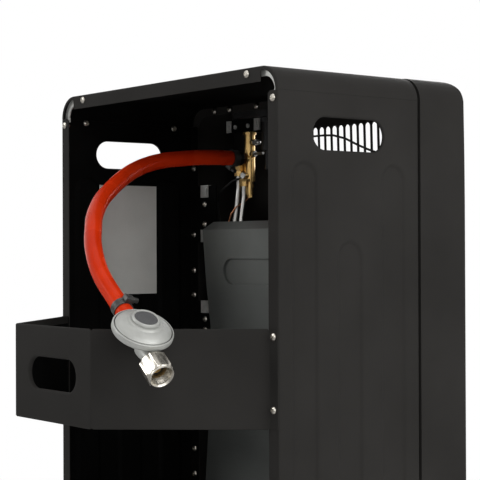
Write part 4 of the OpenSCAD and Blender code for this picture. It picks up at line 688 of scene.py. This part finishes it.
def pressed(name, flat, form, finishes, stands_for=(), thick=sheet_t, keep=None,
            soft=0.25 * mm):
    """A sheet piece. The flat sheet's points (along, across, depth) go through form, its back
    is the same points moved one thickness through the sheet first, cells that keep turns down
    are cut off, and a narrow wall with rounded edges joins front and back where they end."""
    points, through, faces = flat
    if keep is not None:
        faces = faces[keep(points[faces].mean(1))]
    used, faces = np.unique(faces, return_inverse=True)
    faces = faces.reshape(-1, 4)
    points, through = points[used], through[used]
    front, back = form(*points.T), form(*(points + thick * through).T)
    a, b, c, d = (front[faces[:, k]] for k in range(4))
    if (np.cross(c - a, d - b) * (back - front)[faces[:, 0]]).sum() > 0:
        faces = faces[:, ::-1]
    sides = np.stack([faces, np.roll(faces, -1, 1)], -1).reshape(-1, 2)
    key = sides.min(1) * len(points) + sides.max(1)
    _, where, many = np.unique(key, return_index=True, return_counts=True)
    rim = sides[where[many == 1]]
    walls = np.stack([rim[:, 1], rim[:, 0], rim[:, 0] + len(front), rim[:, 1] + len(front)], 1)
    inner = faces[:, ::-1] + len(front)
    made = mesh_of(name, np.vstack([front, back]), np.vstack([faces, walls, inner]),
                   finishes, stands_for=stands_for, sharp=38,
                   slots=np.repeat([0, 0, len(finishes) - 1],
                                   [len(faces), len(walls), len(inner)]))
    ends = np.empty(2 * len(made.data.edges), np.int64)
    made.data.edges.foreach_get("vertices", ends)
    ends = np.sort(ends.reshape(-1, 2), 1)
    lips = np.vstack([rim, rim + len(front)])
    weight = np.isin(ends[:, 0] * 1e7 + ends[:, 1], lips.min(1) * 1e7 + lips.max(1))
    marks = made.data.attributes.new("bevel_weight_edge", "FLOAT", "EDGE")
    marks.data.foreach_set("value", weight.astype(np.float32))
    edge = made.modifiers.new("edges", "BEVEL")
    edge.width = soft
    edge.segments = 2
    edge.limit_method = "WEIGHT"
    edge.use_clamp_overlap = False


# ---- Side panels --------------------------------------------------------------------
# One blank with a rolled hand slot and three pressed ribs, the middle one short, folded into
# a flange at the rear and one at the front.

flange_w = 16 * mm
flange_corner_r = 5 * mm
flange_corner_h = 9 * mm
panel_deep = 198 * mm
rib_half = 18.5 * mm
rib_slope = 5.2 * mm
rib_deep = 3 * mm
rib_low = 84 * mm
rib_tops = np.array([634, 552, 634]) * mm
rib_backs = (98.4 + 62.6 * np.array([-1, 0, 1])) * mm

panel_fold = Fold(np.array([[flange_w, 0], [0, 0], [0, -panel_deep], [flange_w, -panel_deep]]),
                  1.6 * mm, side=-1)


def smooth_step(share):
    """0 to 1 along 3 s^2 - 2 s^3."""
    share = np.clip(share, 0, 1)
    return share * share * (3 - 2 * share)


def rib_depth(back, z):
    """How deep the ribs are at a place: from each rib's round-ended outline inwards, the
    depth rises along a smooth step over the slope's run."""
    deep = 0 * back
    for middle, top in zip(rib_backs, rib_tops):
        nearest = np.clip(z, rib_low + rib_half, top - rib_half)
        inside = rib_half - np.hypot(back - middle, z - nearest)
        deep = deep + rib_deep * smooth_step(inside / rib_slope)
    return deep


def side_form(sign):
    """Folds the blank: along it the fold's line gives depth and way forward, across it is
    the height, ribs and lips go in towards the cabinet's middle, and the flanges' free
    corners at the top are rounded by a quarter circle."""
    def form(along, across, depth):
        point, out = panel_fold.at(along)
        flat = (along > panel_fold.length[6]) & (along < panel_fold.length[7])
        depth = depth + np.where(flat, rib_depth(-point[:, 1], across), 0)
        spot = point - out * depth[:, None]
        free = np.clip((spot[:, 0] - flange_w + flange_corner_r) / flange_corner_r, 0, 1)
        near = np.clip(1 - (seam_z - across) / flange_corner_h, 0, 1)
        cut = flange_corner_r * (1 - np.sqrt(1 - free ** 2)) * near
        return np.stack([sign * (half_w - spot[:, 0]), rear_y + spot[:, 1], across - cut], -1)
    return form


slot_z = 662 * mm
slot_back = 97.6 * mm
slot_core = np.array([33 * mm, 0])
slot_r = 17 * mm
roll_r = 2.2 * mm
slot_at = (np.interp(-slot_back, panel_fold.line[6:8, 1][::-1],
                     panel_fold.length[6:8][::-1]), slot_z)
slot_block = (slot_at[0] - 56 * mm, slot_at[0] + 56 * mm, slot_z - 22 * mm, slot_z + 22 * mm)
rolled = [(0, 4.0 * mm, np.pi / 2)] + [
    (roll_r * (1 - np.sin(a)), roll_r * (1 - np.cos(a)), a)
    for a in np.linspace(np.pi / 2, 0, 6)]
edge_lines = np.array([0.3, 0.8, 1.5, 2.5, 4]) * mm
panel_us = panel_fold.lines(1.5 * mm, [*slot_block[:2], *edge_lines,
                                       *(panel_fold.length[-1] - edge_lines)])
rib_ends = np.concatenate([np.arange(82, 110, 1.5), np.arange(522, 638, 1.5)]) * mm
panel_vs = np.unique(np.concatenate([
    [base_z, 80 * mm], rib_ends, np.arange(110, 500, 30) * mm,
    np.linspace(slot_block[2], slot_block[3], 19),
    [seam_z - 10 * mm, seam_z - 5 * mm, seam_z]]).round(7))
for side, sign in (("left", -1), ("right", 1)):
    pressed(f"side_panel_{side}_sheet",
            blank(panel_us, panel_vs, [(slot_at, slot_core, slot_r, slot_block, rolled)]),
            side_form(sign), [black_coat, inside_coat_shade], [f"side_panel_{side}"])


# ---- Blank card ---------------------------------------------------------------------
# A plain off-white card without print on the inside of the right-hand panel. It lies flat on
# the panel's short rib, and its lower rear corner has come loose.

card_paper = Finish("sheet_paper", Specular_IOR_Level=0.2)
card_fibre = card_paper.grain(700, 4)
card_paper.wear(Base_Color=card_paper.mottle(card_paper.grain(22, 3) * 0.7 + card_fibre * 0.3,
                                             (0.66, 0.655, 0.62), (0.76, 0.755, 0.72)),
                Roughness=0.55 + card_fibre * 0.2)
card_paper.relief(card_fibre, 0.04 * mm)
card_x = half_w - sheet_t - rib_deep - 0.15 * mm
card_ys = np.linspace(-70.5, 16.1, 59) * mm
card_zs = np.linspace(486, 624, 93) * mm
card_t = 0.25 * mm
loose_from, loose_z, loose_run, loose_lift = 4, 500, 20, 5 * mm


def card_form(y, z, depth):
    """The card stands a rib's depth off the panel's inner face, and its loose corner lifts
    with the square of the way past a slanting line."""
    past = (y / mm - loose_from + (loose_z - z / mm) * 0.8) / loose_run
    lift = np.clip(past, 0, 1) ** 2 * loose_lift
    return np.stack([card_x - lift - depth, y, z], -1)


pressed("blank_sheet", blank(card_ys, card_zs), card_form, [card_paper], thick=card_t,
        soft=0.06 * mm)


# ---- Top cover ----------------------------------------------------------------------
# One sheet bent over the cabinet in two wide bends, with a flange down its rear between the
# corners and a narrow lip round its front edge. Plated plates fill its open rear corners.

cover_fold = Fold(np.array([[-half_w, seam_z], [-half_w, top_z], [half_w, top_z],
                            [half_w, seam_z]]), 26 * mm, 14)
cover_lips = Fold(np.array([[panel_y, 5 * mm], [panel_y, 0], [rear_y, 0],
                            [rear_y, 16 * mm]]), 1.4 * mm, side=-1)
corner_gap = 27 * mm
rear_lip = cover_lips.length[12] + 2.8 * mm


def cover_form(along, across, depth):
    """The arch gives the place across the heater, and the lips' line the way back and how
    far inside the arch the sheet lies."""
    point, out = cover_fold.at(along)
    lip, away = cover_lips.at(across)
    lip = lip - away * depth[:, None]
    spot = point - out * lip[:, 1:]
    return np.stack([spot[:, 0], lip[:, 0], spot[:, 1]], -1)


def cover_keep(middle):
    """The rear flange narrows to a lip at both corners and down the sides."""
    point, _ = cover_fold.at(middle[:, 0])
    return (np.abs(point[:, 0]) < half_w - corner_gap) | (middle[:, 1] < rear_lip)


flange_ends = [np.interp(s * (half_w - corner_gap), cover_fold.line[14:16, 0],
                         cover_fold.length[14:16]) for s in (-1, 1)]
pressed("top_cover_sheet",
        blank(cover_fold.lines(12 * mm, flange_ends), cover_lips.lines(14 * mm, [rear_lip])),
        cover_form, [black_coat, inside_coat_shade], ["top_cover"], keep=cover_keep)

plated_steel = worn("plated_steel", [(0.50, 0.505, 0.48), (0.64, 0.645, 0.62)], (120, 3),
                    rough=0.30, spread=0.16, grain=(800, 2), deep=0.02 * mm, Metallic=0.2,
                    Specular_IOR_Level=0.3)
dress(plated_steel, "corner_plates")


# ---- Bottle guard -------------------------------------------------------------------
# A strip folded into two feet, two legs and a rear face that hooks round the bottle. Its
# upper and lower edges are hemmed, and a rolled hand slot is cut in the rear face.

guard_top = 461.9 * mm
guard_low = guard_top - 102.4 * mm
guard_back = rear_y + 139.3 * mm
guard_foot_y = rear_y + sheet_t
guard_foot_x = half_w - 0.2 * mm
guard_leg_x = 197 * mm
guard_rear_x = 77.6 * mm
hem_w = 9 * mm
hem_in = 2.0 * mm
hem_end = 0.6 * mm
guard_fold = Fold(np.array([[-guard_foot_x, guard_foot_y], [-guard_leg_x, guard_foot_y],
                            [-guard_rear_x, guard_back], [guard_rear_x, guard_back],
                            [guard_leg_x, guard_foot_y], [guard_foot_x, guard_foot_y]]),
                  np.array([1.2, 1.4, 1.4, 1.2]) * mm)
guard_hem = Fold(np.array([[guard_low + hem_w, hem_in], [guard_low, hem_in], [guard_low, 0],
                           [guard_top, 0], [guard_top, hem_in], [guard_top - hem_w, hem_in]]),
                 1.0 * mm, 4, side=-1)
guard_face = guard_hem.length[8:10]
guard_runs = [guard_fold.length[k:k + 2] + np.array([1, -1]) * hem_end for k in (6, 12, 18)]


def guard_form(along, across, depth):
    """The plan gives the place, and the hems' line the height and how far inside the plan
    the sheet lies."""
    point, out = guard_fold.at(along)
    hem, away = guard_hem.at(across)
    hem = hem - away * depth[:, None]
    spot = point - out * hem[:, 1:]
    return np.stack([spot[:, 0], spot[:, 1], hem[:, 0]], -1)


def guard_keep(middle):
    """The hems stop short of each fold."""
    run = np.zeros(len(middle), bool)
    for start, stop in guard_runs:
        run |= (middle[:, 0] > start) & (middle[:, 0] < stop)
    hems = (middle[:, 1] < guard_face[0]) | (middle[:, 1] > guard_face[1])
    return run | ~hems


grip_at = (guard_fold.length[12:14].mean(), guard_face.mean())
grip_core = np.array([30.5 * mm, 0])
grip_r = 17.5 * mm
grip_block = (grip_at[0] - 54 * mm, grip_at[0] + 54 * mm, grip_at[1] - 24 * mm,
              grip_at[1] + 24 * mm)
pressed("bottle_guard_sheet",
        blank(guard_fold.lines(3 * mm, [*grip_block[:2], *np.concatenate(guard_runs)]),
              guard_hem.lines(3 * mm, grip_block[2:]),
              [(grip_at, grip_core, grip_r, grip_block, rolled)]),
        guard_form, [black_coat, inside_coat_shade], ["bottle_guard"], keep=guard_keep)


# ---- Front, tray and screws ---------------------------------------------------------
# The folded front with its vents and window, and the rimmed base tray, coated as the other
# sheets; the bright wire grille in the window and the screws that hold the cabinet together.

dress(black_coat, "front_shell", "base_tray")
dress(nickel, "guard_grille", "sheet_screws")


# ---- Burner housing -----------------------------------------------------------------
# A galvanised box over the back of the burner, bevelled along its top and at its two upper
# corners, with a long shallow recess pressed in its rear wall. Its zinc is coloured darker
# than the burner's zinc, and darker still lower down: painted shade. It hangs on coated
# brackets, coloured as the dark inside coat for painted shade, with bright spring clips.

housing_steel = Finish("housing_steel", Metallic=0.55)
housing_drag = housing_steel.grain(300, 3, (0.06, 1, 1))
# Painted shade: the colour darkens towards the bottom of the box, with some noise.
housing_shade = ((housing_steel.along(2) - 0.35) * 1.6 + housing_steel.grain(14, 3) * 0.5
                - 0.1).kept()
housing_steel.wear(
    Base_Color=housing_steel.blend(housing_shade, (0.105, 0.112, 0.106),
                                   (0.255, 0.268, 0.256)),
    Roughness=0.40 + housing_drag * 0.14)
housing_steel.relief(housing_drag, 0.02 * mm)
dress(housing_steel, "burner_housing")
dress(inside_coat_shade, "housing_brackets")
dress(plated_steel, "spring_clips")


# ---- Burner -------------------------------------------------------------------------
# Three ceramic plaques in galvanised boxes with mixing tubes, fed by brass injectors on a
# bar; a bright reflector tray round them, and the pilot burner with its thermocouple and
# electrode.

zinc = Finish("zinc", Metallic=0.85)
spangle = zinc.add("ShaderNodeTexVoronoi", {"feature": "F1"},
                   {"Vector": zinc.place, "Scale": 150.0}, out="Color")
spangle_tone = zinc.add("ShaderNodeSeparateColor", None, {"Color": spangle}, out=0)
zinc_drag = zinc.grain(420, 3, (1, 1, 0.08))
zinc.wear(Base_Color=zinc.blend((spangle_tone * 0.6 + zinc_drag * 0.4).over(0.1, 0.9),
                                (0.30, 0.315, 0.305), (0.44, 0.455, 0.445)),
          Roughness=0.38 + spangle_tone * 0.16)
zinc.relief(zinc_drag, 0.03 * mm)
bright_steel = worn("bright_steel", [(0.40, 0.40, 0.39), (0.52, 0.52, 0.50)],
                    (700, 3, (1, 1, 6)), rough=0.24, spread=0.18, deep=0.02 * mm,
                    Metallic=1.0)
ceramic = worn("ceramic", [(0.62, 0.57, 0.47), (0.74, 0.69, 0.58)], (1600, 3), rough=0.7,
               spread=0.2, deep=0.15 * mm, Specular_IOR_Level=0.3)
dress(zinc, "burner_bodies", "gas_manifold", "pilot_bracket")
dress(bright_steel, "reflector", "thermocouple")
dress(ceramic, "ceramic_plaques", "electrode")
dress(brass, "injectors", "pilot_burner")


# ---- Gas valve and tubes ------------------------------------------------------------
# A turned brass valve with its rotating plug and steel spindle, screwed to a coated bracket;
# a bronze hose nipple, the nuts and two drawn aluminium tubes down to the burner.

nipple_bronze = worn("nipple_bronze", [(0.16, 0.075, 0.03), (0.24, 0.12, 0.05)], (200, 3),
                     rough=0.35, spread=0.2, Metallic=1.0)
aluminium = worn("aluminium", [(0.40, 0.395, 0.375), (0.52, 0.515, 0.49)],
                 (900, 3, (1, 1, 0.1)), rough=0.28, spread=0.14, Metallic=1.0)
dress(brass, "gas_valve", "valve_plug", "brass_nuts")
dress(nipple_bronze, "hose_nipple")
dress(bright_steel, "valve_spindle", "port_screws")
# The valve bracket wears the darker inside coat: painted shade.
dress(inside_coat_shade, "valve_bracket")
dress(plated_steel, "control_screws")
dress(aluminium, "burner_tube", "pilot_tube")


# ---- Leads --------------------------------------------------------------------------
# Two leads in black rubber, a rubber boot over the igniter's terminal, and the copper lead
# of the thermocouple.

copper = worn("copper", [(0.48, 0.20, 0.10), (0.62, 0.30, 0.16)], (90, 3), rough=0.3,
              spread=0.15, Metallic=1.0)
dress(lead_rubber, "insulated_leads")
dress(copper, "thermocouple_lead")
tube("igniter_boot", np.array([[84, -158.15, z] for z in np.linspace(643, 667.4, 9)]) * mm,
     4.0 * mm, 32, lead_rubber, lie=(1.0, 0.0, 0.0))


# ---- Controls -----------------------------------------------------------------------
# A moulded bowl in the cabinet's top, the knob and the igniter's case, all of black plastic
# with a fine grain. The igniter's push button is red.

moulded = worn("moulded", [(0.012, 0.012, 0.012), (0.018, 0.018, 0.018)], (2200, 2),
               rough=0.42, spread=0.18, deep=0.06 * mm, Specular_IOR_Level=0.4)
red_button = worn("red_button", [(0.36, 0.016, 0.012), (0.44, 0.022, 0.016)], (1500, 2),
                  rough=0.25, spread=0.12, Specular_IOR_Level=0.5)
dress(moulded, "control_panel", "control_knob", "igniter_body", "igniter_nut")
dress(red_button, "igniter_button")


# ---- Castors ------------------------------------------------------------------------
# Four swivel castors under the base: a galvanised plate with its rivets, a bright fork and
# axle, and a hard black wheel.

tyre = worn("tyre", [(0.016, 0.016, 0.016), (0.026, 0.026, 0.026)], (1100, 3), rough=0.55,
            spread=0.2, deep=0.08 * mm, Specular_IOR_Level=0.35)
dress(zinc, "castor_plates")
for corner in ("fl", "fr", "rl", "rr"):
    dress(bright_steel, f"castor_fork_{corner}", f"castor_axle_{corner}")
    dress(tyre, f"castor_wheel_{corner}")
